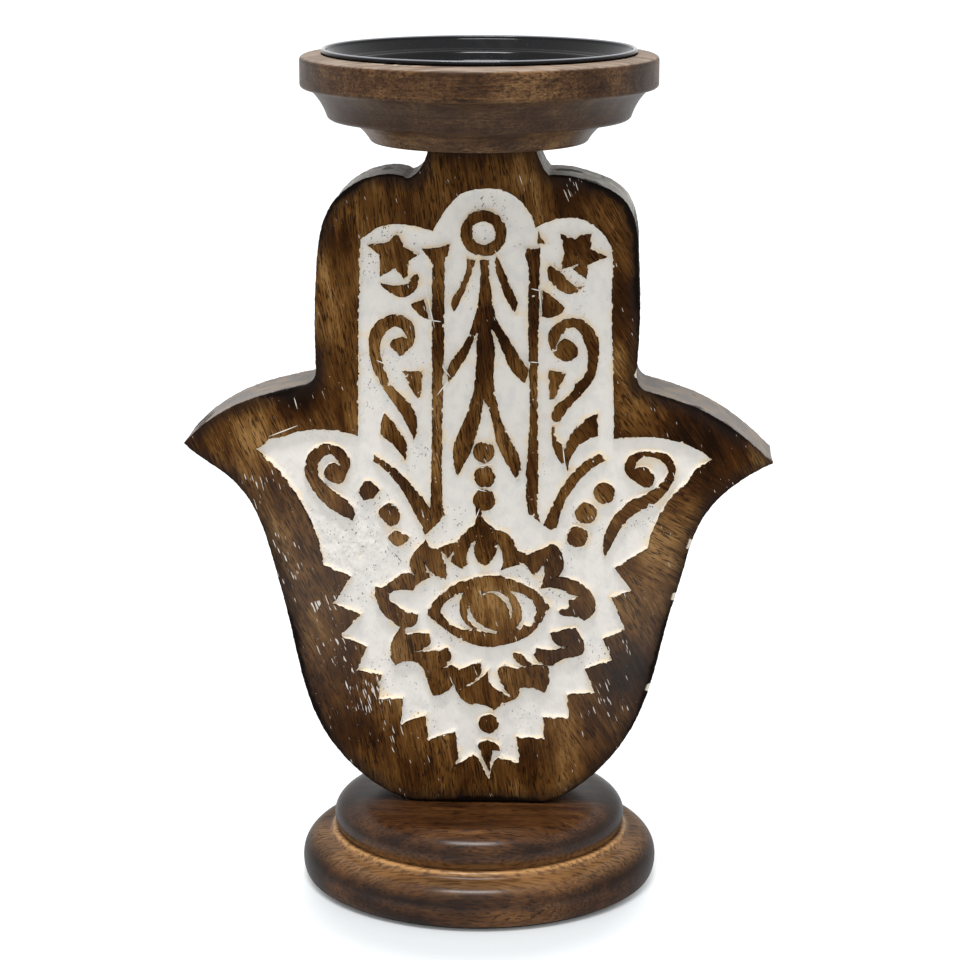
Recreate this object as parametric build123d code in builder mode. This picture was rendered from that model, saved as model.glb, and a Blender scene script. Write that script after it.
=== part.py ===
from build123d import *
from math import radians, tan
import os

# Hand panel: a sawn wooden slab that stands on its foot and carries the dish on its neck
hand_width = 190.0
hand_height = 217.0
slab_thickness = 28.0
carving_depth = 2.0
whitewash_thickness = 0.4

# Drawing that the hand is sawn and carved from: thumb tips on the lines at 95 squares left and right,
# foot of the hand on the line at 27.5 squares, neck on the line at 244.5 squares
thumb_line = 95.0
foot_line = 27.5
neck_line = 244.5

# Felt pad under the base
pad_inset = 1.4
pad_thickness = 1.0

# Turned base: a wide lower swell, a narrow ring cut bright, and a smaller upper swell with a flat top
lower_swell_diameter = 118.0
lower_swell_height = 13.2
lower_swell_line = 5.0
lower_swell_inset = 1.6
lower_swell_roll = 7.5
ring_inset = 1.3
ring_height = 2.1
ring_slope = 1.8
groove_depth = 1.9
upper_swell_height = 11.2
upper_swell_line = 4.1
upper_swell_inset = 1.8
upper_swell_roll = 9.8

# Candle dish: three turned steps, each wider than the one below, with hollowed sides
dish_foot_flare = 7.7
dish_foot_height = 7.3
dish_middle_overhang = 6.0
dish_middle_flare = 6.2
dish_middle_height = 10.0
dish_band_overhang = 2.6
dish_band_height = 9.7
dish_rim_width = 6.9
dish_hollow = 0.9
dish_edge_round = 1.0

# Candle pan: pressed sheet with a floor, a ledge and a flared lip with a rolled rim
pan_diameter = 100.0
pan_depth = 8.0
pan_sheet = 0.8
pan_rise = 2.5
pan_wall_flare = 2.0
pan_ledge_width = 3.5
pan_ledge_height = 3.5
pan_lip_width = 3.7
pan_ledge_rise = 0.3
pan_bend = 1.0
pan_rim_bead = 1.6
pan_rim_overhang = 0.5

# Wood screws: two join the base to the hand and two join the dish to the neck
screw_diameter = 4.5
screw_length = 45.0
screw_head_diameter = 8.5
screw_head_angle = 90.0
screw_tip_length = 5.0
screw_slot_width = 1.2
screw_slot_depth = 1.0
screw_clearance = 0.1
screw_head_sink = 0.3
base_screw_spacing = 26.0
base_screw_recess = 8.0
dish_screw_spacing = 17.0

# Heights above the floor, worked out from the stack of pieces
lower_swell_top = pad_thickness + lower_swell_height
ring_top = lower_swell_top + ring_height
base_top = ring_top + upper_swell_height
dish_bottom = base_top + hand_height
dish_middle_bottom = dish_bottom + dish_foot_height
dish_band_bottom = dish_middle_bottom + dish_middle_height
dish_top = dish_band_bottom + dish_band_height
pan_top = dish_top + pan_rise
pan_floor = pan_top - pan_depth
recess_floor = pan_floor - pan_sheet

# Diameters, worked out from the foot upwards in the base and from the pan outwards and down in the dish
pad_diameter = lower_swell_diameter - 2 * (lower_swell_inset + pad_inset)
ring_diameter = lower_swell_diameter - 2 * (lower_swell_roll + ring_inset)
upper_swell_diameter = ring_diameter - 2 * (ring_slope + groove_depth - upper_swell_inset)
pan_ledge_diameter = pan_diameter - pan_rim_bead - 2 * pan_lip_width
pan_floor_diameter = pan_ledge_diameter - 2 * (pan_ledge_width + pan_wall_flare)
dish_band_diameter = pan_diameter + 2 * dish_rim_width
dish_middle_diameter = dish_band_diameter - 2 * (dish_band_overhang + dish_middle_flare)
dish_foot_diameter = dish_middle_diameter - 2 * (dish_middle_overhang + dish_foot_flare)

# Sides of one square of the drawing
square_across = hand_width / (2 * thumb_line)
square_up = hand_height / (neck_line - foot_line)

front = Plane(origin=(0, -slab_thickness / 2, 0), x_dir=(1, 0, 0), z_dir=(0, -1, 0))


def at(across, up):
    """Place of a point of the drawing on the front plane, in millimetres."""
    return (across * square_across, base_top + (up - foot_line) * square_up)


def draw(runs):
    """Closed line of the drawing. Each run goes on from the end of the run before it: straight where it
    has one point, and as a smooth curve through its points where it has more."""
    start = runs[-1][-1]
    with BuildLine() as outline:
        for run in runs:
            stops = [at(*start)] + [at(*point) for point in run]
            if len(run) == 1:
                Line(*stops)
            else:
                Spline(*stops)
            start = run[-1]
    return outline.line


def corners(*points):
    """Runs of a shape that has straight sides only."""
    return [[point] for point in points]


# Outline of the hand: foot, right thumb, right finger lobe, neck, left lobe, left thumb
hand_edge = [
    [(22, foot_line)],
    [(30, 31.2), (40, 39.3), (50, 52.5), (57.3, 71), (62.2, 91.5), (66.5, 106.5), (70, 119),
     (75, 128.3), (84, 137), (thumb_line, 143.5)],
    [(90, 148.3), (80, 156.2), (70, 161.6), (60, 165.1), (54, 166.8)],
    [(51.8, 168.7), (51, 172)],
    [(51.6, 182), (51.9, 192), (51.3, 208), (50, 221), (46, 228.3), (38, 232.7), (30, 235), (22.5, 235.5)],
    [(20.3, 239), (18.5, neck_line)],
    [(-15, neck_line)],
    [(-16.5, 240), (-19, 236), (-22, 234.2)],
    [(-25, 235.3), (-32, 235), (-40, 231.7), (-46.5, 225.3), (-49.8, 217), (-51.3, 205), (-52, 190),
     (-51.8, 172.5)],
    [(-52.7, 169.3), (-55, 167.5)],
    [(-65, 165.2), (-75, 162), (-85, 156.7), (-thumb_line, 147.8)],
    [(-90, 143.5), (-82, 138), (-75, 130.7), (-70.5, 122), (-66, 107), (-62, 91), (-58, 72), (-51, 52.3),
     (-40, 38.3), (-30, 31), (-21, foot_line)],
]

# Edge of the sunk ground: finger arches at the top, thumb lobes, and saw teeth down to the wrist
ground_edge = [
    [(-10, 224), (-5, 229.2), (2, 231), (10, 229.8), (15.5, 225), (18.5, 218.8)],
    [(24, 221.2), (30, 222), (37, 219.5), (41.5, 214.5), (43, 208)],
    [(42.7, 198), (43.3, 175), (43.8, 151)],
    [(52, 151.7), (60, 151.2), (68, 149), (75.3, 144.5)],
    [(70, 141), (67.5, 136.8)],
    [(64.8, 135)],
    [(60, 128.5), (57, 122), (55, 115)],
    *corners((44.5, 108.3), (50, 101), (43.5, 98.4), (48.1, 87.8), (41, 84.4), (44, 77.3), (35.2, 74.2)),
    *corners((38.4, 66.2), (29.4, 65.3), (30, 57.3), (21.7, 57.4), (22, 50), (13, 50.3), (14, 41.4)),
    *corners((7.1, 43.4), (5.2, 41.5), (4, 35.5), (0.8, 42.4), (-1.3, 44), (-7.8, 39.8), (-5.7, 42.6)),
    *corners((-7.3, 52), (-16, 48.8), (-16.9, 57.5), (-25, 54.2), (-24.2, 63.3), (-32.4, 62.6)),
    *corners((-31.2, 71), (-39.3, 72.5), (-36, 80.4), (-44.4, 84), (-38, 91.5), (-46.7, 95)),
    *corners((-41, 104.2), (-50, 108)),
    [(-51, 115), (-55, 125), (-60, 134), (-66, 141.5), (-71.5, 146.2)],
    *corners((-68, 148), (-67.3, 149.6), (-62.8, 150.2)),
    [(-56, 152.4), (-48, 152.8), (-38.3, 151)],
    [(-38, 175), (-37.6, 195), (-36.8, 214.7)],
    [(-34.5, 216.3)],
    [(-25, 219.6), (-19, 218.8), (-14, 217.5)],
]

# Ring at the top of the middle finger: centre across, centre up, outer and inner radius, in squares
finger_ring = (2.1, 216.9, 7.35, 3.7)

# Round dots: centre across, centre up and radius, in squares
dots = [
    (2.2, 146.1, 3.5), (2.5, 137.9, 3.5), (2.4, 130.3, 3.7),
    (41, 133.1, 3.5), (35.1, 126.4, 3.55), (32.4, 118.5, 3.5),
    (3.8, 54.8, 3.3),
]

# Middle finger: forked stem with two side leaves, and two free leaves above them
stem = [
    [(4.1, 202), (5, 195), (7, 188), (10.5, 182.7), (13.3, 177.7), (16.2, 174)],
    [(16.2, 172), (15.2, 169)],
    [(12.5, 171), (8, 179.5), (4.6, 186)],
    [(5.7, 179), (5.3, 171), (6.6, 161.5), (9.2, 153.3), (13, 146), (13.1, 136.8)],
    [(10, 141.5), (6, 150.5), (4.5, 158), (2.2, 163.2)],
    [(1, 156.5), (-0.8, 149.3), (-3.5, 143), (-6.3, 138)],
    [(-7.7, 143), (-7.6, 147.5), (-4, 156.7), (-1, 167), (-0.2, 177), (0, 185)],
    [(-4, 176), (-9, 168.8)],
    [(-8.9, 174.5), (-5.5, 179.3), (-1, 189), (0.7, 197), (0.9, 208.3)],
    [(3.9, 208.3)],
]
top_leaf_left = [
    [(-1.8, 203.8), (-4, 198), (-7.3, 191.7)],
    [(-8, 195.5), (-6, 198.6), (-4, 203), (-3, 208.8)],
    [(-0.3, 208.2)],
]
top_leaf_right = [
    [(8.5, 205), (10.8, 200), (13.1, 195.3)],
    [(12.3, 190.8)],
    [(9, 196.5), (6.9, 202), (5.5, 208)],
    [(6.3, 209.6)],
]

# Bars between the fingers: the left one runs into a slanting stem, the right one stands alone
bar_left = [
    *corners((-12.5, 212.2), (-8.2, 213.3), (-9.3, 209.5), (-10.1, 209)),
    [(-10.3, 198), (-10.7, 168), (-11.2, 133), (-10.9, 126.6)],
    *corners((-9.8, 125.3), (-16.7, 118.2), (-18.6, 122.5)),
    [(-23.5, 132), (-27.5, 137.6), (-33.5, 142.7)],
    [(-33.2, 144.9)],
    [(-29, 142.2), (-22.5, 136.7), (-15.1, 127)],
    [(-14.6, 145), (-14.4, 175), (-14.2, 207.2)],
    [(-17.4, 211.8)],
]
bar_right = [
    [(20, 212.4)],
    [(19.8, 196), (19.4, 170), (19.7, 145), (19.5, 126.5)],
    *corners((20.6, 123), (16.7, 125.8)),
    [(15.9, 131), (16.7, 152), (16.4, 180), (16.4, 206)],
    *corners((15, 211), (16, 212.3)),
]
bar_cap_right = corners((19.4, 217.6), (21.7, 213.5), (19.1, 213.5))
stem_right = [
    [(41.3, 144)],
    [(36, 140.3), (30, 133), (25.8, 121.5)],
    [(23.8, 120.5)],
    [(21.4, 122.2)],
    [(24.5, 129.7), (30, 138.9), (39.5, 146.3)],
]

# Outer fingers: star and crescent, a small leaf, a scroll, a wedge and a leaf on each
star_left = corners((-25.2, 216.8), (-22.8, 212), (-18.3, 210), (-21.7, 207.8), (-22, 203), (-23.2, 201.9),
                    (-25.8, 205.3), (-30.8, 202.7), (-30.9, 209.7), (-34.9, 212.8), (-28.8, 213.6))
crescent_left = [
    [(-28.5, 198.2), (-23.5, 196.2), (-19.6, 198.5), (-18.8, 203.7)],
    [(-20.8, 202.8), (-21.6, 200.6)],
    [(-26, 200), (-31, 200.8)],
]
fleck_left = [
    [(-18.5, 195), (-16.8, 195.8)],
    [(-16.1, 192.5), (-15.3, 189.1)],
    [(-18.5, 190.7), (-21, 193.9)],
]
scroll_left = [
    [(-21.5, 179.3), (-19.8, 183.5), (-21, 188.6), (-28, 190.5), (-33.3, 186.5), (-34.4, 178), (-31.5, 169),
     (-26.5, 161.5), (-22.3, 154.5), (-20.3, 149.8)],
    [(-19.2, 154), (-21, 161), (-26.3, 166.5), (-30.4, 175.8), (-30, 183.5), (-26.8, 186.4), (-22, 182.6)],
    [(-25, 183.2), (-27.9, 180.9), (-26.4, 179), (-24.7, 177.2)],
]
wedge_left = corners((-17.3, 172.5), (-18.1, 164), (-19, 163.5), (-21.3, 166.7), (-23.8, 172.3))
blade_left = [
    [(-26, 154.6), (-22.5, 147.5), (-23.2, 143)],
    [(-25.5, 146.5), (-31, 151.3)],
    [(-31, 154.5), (-29.7, 158.5)],
]
star_right = corners((26.2, 217), (31.2, 215.2), (33, 216.8), (36.2, 216.9), (36, 212.2), (41.2, 209.7),
                     (35.5, 207.3), (34.7, 202.5), (30.4, 205.6), (32, 207.3), (26.5, 205.4), (27.5, 211))
crescent_right = [
    [(24.5, 206.2), (28.3, 202.7), (34, 200.2)],
    [(30, 197.8), (25.3, 199.3), (22.4, 206)],
    [(23.2, 206.7)],
]
fleck_right = [
    [(24, 196.9), (27.9, 193.3)],
    [(25.5, 190.6), (20.6, 190.4)],
    [(20.8, 198.9)],
]
scroll_right = [
    [(24.8, 177.9), (22.6, 183.5), (25, 188), (31.5, 190), (37.5, 185.8), (38.9, 178.5), (36.7, 169.5),
     (31.5, 163.2), (26.5, 155.6)],
    [(24, 157)],
    [(25.6, 162), (29.6, 165.2), (31.3, 169.6)],
    [(33.4, 170.2)],
    [(35.2, 174.5), (34.3, 182), (30.5, 187), (26.8, 184.3), (25.3, 179.9)],
    [(28.6, 183.2), (32, 180.3), (28.8, 176)],
]
scroll_tail_right = [
    [(25.4, 152), (25.5, 150)],
    [(27.6, 148.7), (27.3, 142.5)],
    [(24.6, 147.2), (24.1, 155)],
    [(25, 154.6)],
]
wedge_right = corners((24.3, 173), (28.4, 172), (24.8, 163.7), (23.3, 163.7), (22.6, 170.5), (23, 173))
blade_right = [
    [(33.5, 156.3), (29, 150.3), (28.2, 144), (29.3, 140)],
    [(30.5, 145.5), (34, 149.6), (38.8, 151.8)],
    [(38.7, 159.3)],
]

# Thumbs: a scroll on each, and three cut dots on the left
thumb_scroll_left = [
    [(-41.5, 139), (-41, 143), (-43, 146), (-48.5, 148.3), (-53.5, 145.7), (-55.7, 141), (-53.5, 133.5),
     (-48, 127.2), (-40.3, 123)],
    [(-39.8, 127), (-44, 131), (-49, 135), (-51.3, 140.5), (-48.5, 144.5), (-44.5, 141.5)],
    [(-48.4, 141), (-49.5, 137.9), (-47, 135.7), (-44, 135)],
]
thumb_scroll_right = [
    [(50, 137.4), (47.3, 142), (49.5, 145.8), (55.5, 147), (61.5, 145.7), (63.8, 141.2), (61.8, 135),
     (57, 129.6)],
    *corners((55.3, 130), (54.9, 128.4)),
    [(48, 123.7), (44, 117), (41.5, 111.7)],
    [(40.7, 116), (44, 125), (50, 131), (57.5, 135), (61, 141.5), (55.5, 145.3), (50.6, 141)],
    [(54, 141.8), (56.9, 138.8), (55.3, 135.2)],
]
cut_dot_high = corners((-38.5, 132.5), (-36.3, 136), (-34.3, 136.2), (-31.3, 133.2), (-33.6, 130.2),
                       (-36.7, 129.8))
cut_dot_middle = [
    [(-30.5, 127.8), (-27.6, 128.9), (-25, 125.7), (-28.2, 121)],
    [(-32.1, 124.8)],
]
cut_dot_low = [
    [(-26.7, 120.3)],
    [(-21.7, 117.6)],
    [(-25.8, 114.4), (-28.9, 117.6)],
]

# Frame round the eye: a crown with three tongues, two side wings and the petals below
crown = [
    [(3, 123), (5.5, 121), (9.8, 119.3), (12.3, 116), (13.4, 112), (13.8, 109)],
    [(7.7, 107)],
    [(8.4, 111.5), (5.7, 117)],
    [(6.1, 112.5), (2.3, 108.5), (-0.9, 113.3), (0.2, 117)],
    [(-2.4, 114.2), (-2.9, 109)],
    *corners((-4.5, 107), (-8.5, 109.5), (-7.6, 113), (-9.6, 110.5)),
    [(-11, 112.2), (-13.4, 113.2)],
    [(-11, 114.8), (-7.2, 116.3), (-3.5, 120), (-0.5, 122.2)],
    *corners((-0.4, 127.5), (1.5, 127.5), (1.5, 125)),
]
wing_right = [
    [(18, 113), (21, 114.3), (24.4, 116), (27.9, 111.5), (25.6, 105)],
    [(31, 104.2), (37, 100.2), (38.6, 95.5), (34.8, 90.4)],
    [(32.5, 91.5), (29, 91.8), (26, 93.6)],
    *corners((29.9, 95), (29.8, 97.3), (33.2, 98.6), (30, 99.2)),
    [(26.5, 101), (20.6, 101)],
    [(21.5, 104.3), (21.9, 108.5)],
    *corners((21, 108.8), (20.3, 107), (18.5, 105.1), (15.2, 109.4), (12.9, 110), (12.6, 114)),
]
wing_left = [
    [(-15, 114.7), (-16.6, 116.9)],
    [(-18.5, 114.7), (-21.4, 111), (-20.3, 105)],
    [(-24.5, 105.2), (-28, 102.7), (-31, 100.5)],
    [(-33.1, 100.9)],
    [(-32.6, 95.5), (-29, 90), (-24, 87)],
    [(-20, 88.5), (-19.3, 91.6)],
    [(-24.5, 93.5), (-28.4, 96.2)],
    [(-28, 98.8), (-25.5, 99.8), (-21, 99.8)],
    [(-18, 102.8), (-15.2, 104.1)],
    [(-16.4, 106.7), (-17.3, 110.2)],
    [(-15.2, 106.2), (-10, 103.6)],
    [(-10, 108.5), (-12, 113.4)],
]
petals = [
    [(-23.4, 85.2)],
    [(-15.7, 85.4)],
    [(-15, 83.4), (-20.5, 79)],
    [(-15, 79.7), (-9.4, 80.5)],
    [(-8.3, 78.3), (-11.7, 73.3)],
    [(-8.3, 74.9)],
    [(-5.9, 73.2)],
    [(-2, 74.7), (1.3, 76.2)],
    [(1.5, 73), (-4, 67.5)],
    [(1, 70.2), (3.6, 73)],
    [(4.3, 69), (10.4, 64.9)],
    [(7.6, 69.3), (6.8, 73.3)],
    [(8.9, 75.5)],
    [(12.5, 74.1), (17, 74.9), (22.9, 74.7)],
    [(23.9, 70.5), (22, 65.8)],
    [(18.5, 67), (14, 67.2)],
    [(12.6, 63.6), (9, 61.8), (5.8, 59)],
    [(3, 61), (-1.5, 61)],
    [(-5, 63.2), (-7.5, 68.3)],
    [(-10.5, 65.2), (-14.6, 64.1)],
    [(-15.8, 67.5), (-17.5, 73.4)],
    [(-21.5, 75.7), (-26.7, 74.3)],
    [(-28.5, 79.6), (-26, 85.8), (-24.5, 88)],
    [(-23.2, 88)],
]
petal_right = [
    [(29, 87.6), (32.2, 88)],
    [(33.5, 85.7), (35.2, 81), (31.5, 78)],
    [(28, 77.2), (24.8, 74.9)],
    [(21.5, 75.6), (18.7, 78.3), (19.5, 81)],
    [(24.5, 80.4), (29.5, 81.7)],
    [(26.5, 81.9), (23.9, 86)],
]
bud_right = [
    [(13.6, 78.9), (18, 75.4)],
    [(14, 75.2), (11.8, 77.8), (12.4, 79.3)],
]

# Eye: a raised almond whose white, iris and lids are cut back into it
eye = [
    [(-14.6, 95.5), (-9, 101), (-2, 104), (5, 105.2), (14, 102.9), (20, 99.5), (23.7, 94.7)],
    [(21, 89.8), (17, 85.2), (10, 82.1), (4, 81), (-4, 82.9), (-11, 87.2), (-16, 91.5)],
    [(-16, 93.5)],
]
eye_white_left = [
    [(-9, 97), (-4.3, 99.3)],
    [(-5.7, 94), (-4, 89.2), (-1, 87)],
    [(-6, 87.1), (-10, 90), (-12, 93)],
]
eye_white_right = [
    [(14.3, 94.5), (14, 89.2), (12.5, 87.8)],
    *corners((14.2, 87), (15.2, 88.6)),
    [(17.6, 88.6), (18.5, 91.5), (19.5, 93)],
    [(17, 97.7), (11.2, 99.7)],
]
iris_left = [
    [(-1, 90.8), (2.5, 87.8), (7, 86.3)],
    [(1, 86.5), (-2.6, 90), (-2.5, 94.8)],
]
iris_right = [
    [(6, 98.8), (9.5, 95.6), (10.8, 90.5)],
    [(11.4, 94), (8.5, 98.9), (2, 98.9)],
]

# Drop at the wrist, between the two lowest teeth
wrist_drop = [
    [(1.5, 48.8), (5, 48.9), (7.5, 45.6)],
    [(5.1, 45.6)],
    [(4.8, 43), (4.1, 38.2)],
    [(1.9, 42.7), (0.3, 46.6)],
]

islands = [
    stem, top_leaf_left, top_leaf_right, bar_left, bar_right, bar_cap_right, stem_right,
    star_left, crescent_left, fleck_left, scroll_left, wedge_left, blade_left,
    star_right, crescent_right, fleck_right, scroll_right, scroll_tail_right, wedge_right, blade_right,
    thumb_scroll_left, thumb_scroll_right, cut_dot_high, cut_dot_middle, cut_dot_low,
    crown, wing_right, wing_left, petals, petal_right, bud_right, eye, wrist_drop,
]
sunk_in_eye = [eye_white_left, eye_white_right, iris_left, iris_right]

# Sunk ground of the carving, with the raised motifs left standing in it
with BuildSketch(front) as ground:
    make_face(draw(ground_edge))
    for motif in islands:
        make_face(draw(motif), mode=Mode.SUBTRACT)
    for across, up, radius in dots:
        with Locations(at(across, up)):
            Ellipse(radius * square_across, radius * square_up, mode=Mode.SUBTRACT)
    for motif in sunk_in_eye:
        make_face(draw(motif))
    across, up, ring_outer, ring_inner = finger_ring
    with Locations(at(across, up)):
        Ellipse(ring_outer * square_across, ring_outer * square_up, mode=Mode.SUBTRACT)
        Ellipse(ring_inner * square_across, ring_inner * square_up)

# Screw seats: planes at the tops of the screw heads, facing away from the wood
screw_radius = screw_diameter / 2
screw_hole_radius = screw_radius + screw_clearance
screw_head_hole_radius = screw_head_diameter / 2 + screw_clearance
dish_seat_height = recess_floor - screw_head_sink
sides = {"left": -1, "right": 1}
base_screw_seats = {
    side: Plane(origin=(sign * base_screw_spacing / 2, 0, base_screw_recess), z_dir=(0, 0, -1))
    for side, sign in sides.items()
}
dish_screw_seats = {
    side: Plane(origin=(sign * dish_screw_spacing / 2, 0, dish_seat_height))
    for side, sign in sides.items()
}
base_screw_reach = base_screw_recess + screw_length - base_top
dish_screw_reach = dish_bottom - (dish_seat_height - screw_length)

# Hand panel, with its carved front and the pilot holes in its foot and neck
with BuildPart() as hand_panel:
    with BuildSketch(front):
        make_face(draw(hand_edge))
    extrude(amount=-slab_thickness)
    extrude(ground.sketch, amount=-carving_depth, mode=Mode.SUBTRACT)
    with Locations(*[Plane(origin=(seat.origin.X, 0, base_top), z_dir=(0, 0, -1))
                     for seat in base_screw_seats.values()]):
        Hole(screw_hole_radius, depth=base_screw_reach + screw_clearance)
    with Locations(*[Plane(origin=(seat.origin.X, 0, dish_bottom))
                     for seat in dish_screw_seats.values()]):
        Hole(screw_hole_radius, depth=dish_screw_reach + screw_clearance)

# Whitewash lying on the floor of the carving
with BuildPart() as whitewash_coat:
    carving_floor = ground.sketch.moved(Location((0, carving_depth, 0)))
    extrude(carving_floor, amount=whitewash_thickness)

# Turned base
with BuildPart() as turned_base:
    with BuildSketch(Plane.XZ):
        with BuildLine():
            lower_radius = lower_swell_diameter / 2
            upper_radius = upper_swell_diameter / 2
            ring_radius = ring_diameter / 2
            foot = (lower_radius - lower_swell_inset, pad_thickness)
            lower_widest = pad_thickness + lower_swell_line
            lower_crest = (lower_radius - lower_swell_roll, lower_swell_top)
            ring_foot = (ring_radius, lower_swell_top)
            ring_head = (ring_radius - ring_slope, ring_top)
            upper_foot = (upper_radius - upper_swell_inset, ring_top)
            upper_widest = ring_top + upper_swell_line
            upper_crest = (upper_radius - upper_swell_roll, base_top)
            Line((0, base_top), (0, pad_thickness))
            Line((0, pad_thickness), foot)
            EllipticalCenterArc((foot[0], lower_widest), lower_swell_inset, lower_swell_line,
                                start_angle=-90, arc_size=90)
            EllipticalCenterArc((lower_crest[0], lower_widest), lower_swell_roll,
                                lower_swell_height - lower_swell_line, start_angle=0, arc_size=90)
            Line(lower_crest, ring_foot)
            Line(ring_foot, ring_head)
            Line(ring_head, upper_foot)
            EllipticalCenterArc((upper_foot[0], upper_widest), upper_swell_inset, upper_swell_line,
                                start_angle=-90, arc_size=90)
            EllipticalCenterArc((upper_crest[0], upper_widest), upper_swell_roll,
                                upper_swell_height - upper_swell_line, start_angle=0, arc_size=90)
            Line(upper_crest, (0, base_top))
        make_face()
    revolve(axis=Axis.Z)
    with Locations(*base_screw_seats.values()):
        CounterSinkHole(screw_hole_radius, screw_head_hole_radius, counter_sink_angle=screw_head_angle)

# Felt pad under the base
with BuildPart() as base_pad:
    with BuildSketch():
        Circle(pad_diameter / 2)
    extrude(amount=pad_thickness)

# Candle dish, turned in three steps, with a recess for the pan
with BuildPart() as candle_dish:
    with BuildSketch(Plane.XZ) as dish_section:
        with BuildLine():
            foot_radius = dish_foot_diameter / 2
            middle_radius = dish_middle_diameter / 2
            band_radius = dish_band_diameter / 2
            recess_radius = pan_diameter / 2 - pan_rim_overhang
            foot_top = (foot_radius + dish_foot_flare, dish_middle_bottom)
            middle_top = (middle_radius + dish_middle_flare, dish_band_bottom)
            Polyline((0, recess_floor), (0, dish_bottom), (foot_radius, dish_bottom))
            SagittaArc((foot_radius, dish_bottom), foot_top, dish_hollow)
            Line(foot_top, (middle_radius, dish_middle_bottom))
            SagittaArc((middle_radius, dish_middle_bottom), middle_top, dish_hollow)
            Polyline(middle_top, (band_radius, dish_band_bottom), (band_radius, dish_top),
                     (recess_radius, dish_top), (recess_radius, recess_floor), (0, recess_floor))
        make_face()
        edge_radii = (foot_radius, middle_radius, band_radius)
        turned_edges = dish_section.vertices().filter_by(
            lambda corner: any(abs(corner.X - radius) < dish_edge_round / 10 for radius in edge_radii)
        )
        fillet(turned_edges, dish_edge_round)
    revolve(axis=Axis.Z)
    with Locations(*dish_screw_seats.values()):
        CounterSinkHole(screw_hole_radius, screw_head_hole_radius, counter_sink_angle=screw_head_angle)

# Candle pan, pressed from sheet along one line through the middle of its thickness
with BuildPart() as candle_pan:
    with BuildSketch(Plane.XZ):
        with BuildLine():
            floor_line = pan_floor - pan_sheet / 2
            floor_radius = pan_floor_diameter / 2
            ledge_height = floor_line + pan_ledge_height
            bead_centre = (pan_diameter / 2 - pan_rim_bead / 2, pan_top - pan_rim_bead / 2)
            FilletPolyline(
                (0, floor_line),
                (floor_radius, floor_line),
                (floor_radius + pan_wall_flare, ledge_height),
                (pan_ledge_diameter / 2, ledge_height + pan_ledge_rise),
                bead_centre,
                radius=pan_bend,
            )
        trace(line_width=pan_sheet)
        with Locations(bead_centre):
            Circle(pan_rim_bead / 2)
    revolve(axis=Axis.Z)


def wood_screw(seat):
    """One countersunk wood screw whose slotted head lies flush in the given plane and faces along it."""
    head_radius = screw_head_diameter / 2
    head_height = (head_radius - screw_radius) / tan(radians(screw_head_angle / 2))
    shank_length = screw_length - screw_tip_length
    hanging = (Align.CENTER, Align.CENTER, Align.MAX)
    with BuildPart(seat) as screw:
        Cone(screw_radius, head_radius, head_height, align=hanging)
        Cylinder(screw_radius, shank_length, align=hanging)
        with Locations((0, 0, -shank_length)):
            Cone(0, screw_radius, screw_tip_length, align=hanging)
        Box(screw_head_diameter, screw_slot_width, screw_slot_depth, align=hanging, mode=Mode.SUBTRACT)
    return screw


pieces = {
    "hand_panel": hand_panel,
    "whitewash_coat": whitewash_coat,
    "turned_base": turned_base,
    "base_pad": base_pad,
    "candle_dish": candle_dish,
    "candle_pan": candle_pan,
}
for side in sides:
    pieces[f"base_screw_{side}"] = wood_screw(base_screw_seats[side])
    pieces[f"dish_screw_{side}"] = wood_screw(dish_screw_seats[side])

os.makedirs("parts", exist_ok=True)
for label, piece in pieces.items():
    piece.part.label = label
    export_step(piece.part, f"parts/{label}.step")
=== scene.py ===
# %% [markdown]
# # A carved hamsa hand that carries a candle
# The stand is a flat wooden hand on a turned foot, with a turned dish and a black candle plate on top. Its
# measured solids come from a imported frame. This notebook dresses them: each piece is an array of points
# worked out from the frame, and each finish is a small tree of texture nodes.

# %% Load the frame
from math import cos, log2, pi, radians, sin, sqrt

import bmesh
import bpy
import numpy as np
from mathutils.geometry import delaunay_2d_cdt
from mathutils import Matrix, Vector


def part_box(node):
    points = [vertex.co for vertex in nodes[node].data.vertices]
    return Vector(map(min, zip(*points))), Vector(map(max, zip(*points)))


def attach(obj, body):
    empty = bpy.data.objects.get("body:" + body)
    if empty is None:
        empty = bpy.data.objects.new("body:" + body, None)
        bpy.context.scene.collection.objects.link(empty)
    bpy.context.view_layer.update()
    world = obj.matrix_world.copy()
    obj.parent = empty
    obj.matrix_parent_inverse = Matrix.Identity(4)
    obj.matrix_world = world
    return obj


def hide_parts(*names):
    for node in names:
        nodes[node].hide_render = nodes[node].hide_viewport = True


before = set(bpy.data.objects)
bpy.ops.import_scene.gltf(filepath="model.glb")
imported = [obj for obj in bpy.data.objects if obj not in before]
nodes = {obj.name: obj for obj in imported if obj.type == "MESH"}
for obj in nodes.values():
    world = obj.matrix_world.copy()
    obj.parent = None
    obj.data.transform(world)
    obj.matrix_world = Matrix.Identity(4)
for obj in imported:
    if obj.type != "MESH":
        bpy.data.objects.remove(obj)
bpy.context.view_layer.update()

mm = 0.001

# %% [markdown]
# ## Camera
# The view was worked out from the ovals that the round dish and foot make in the picture: the wider an oval
# opens, the steeper the camera looks down on it. A long lens keeps both ovals nearly alike. The camera
# faces the stand's axis and is tipped down without a roll, so the axis stays upright in the picture.

# %% Camera
photo_side = 960
focal_pixels = 2878
centre_offset_pixels = 0.7
camera_distance = 915 * mm
camera_height = 349 * mm
camera_turn = radians(3.2)
camera_pitch = radians(13.24)

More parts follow.
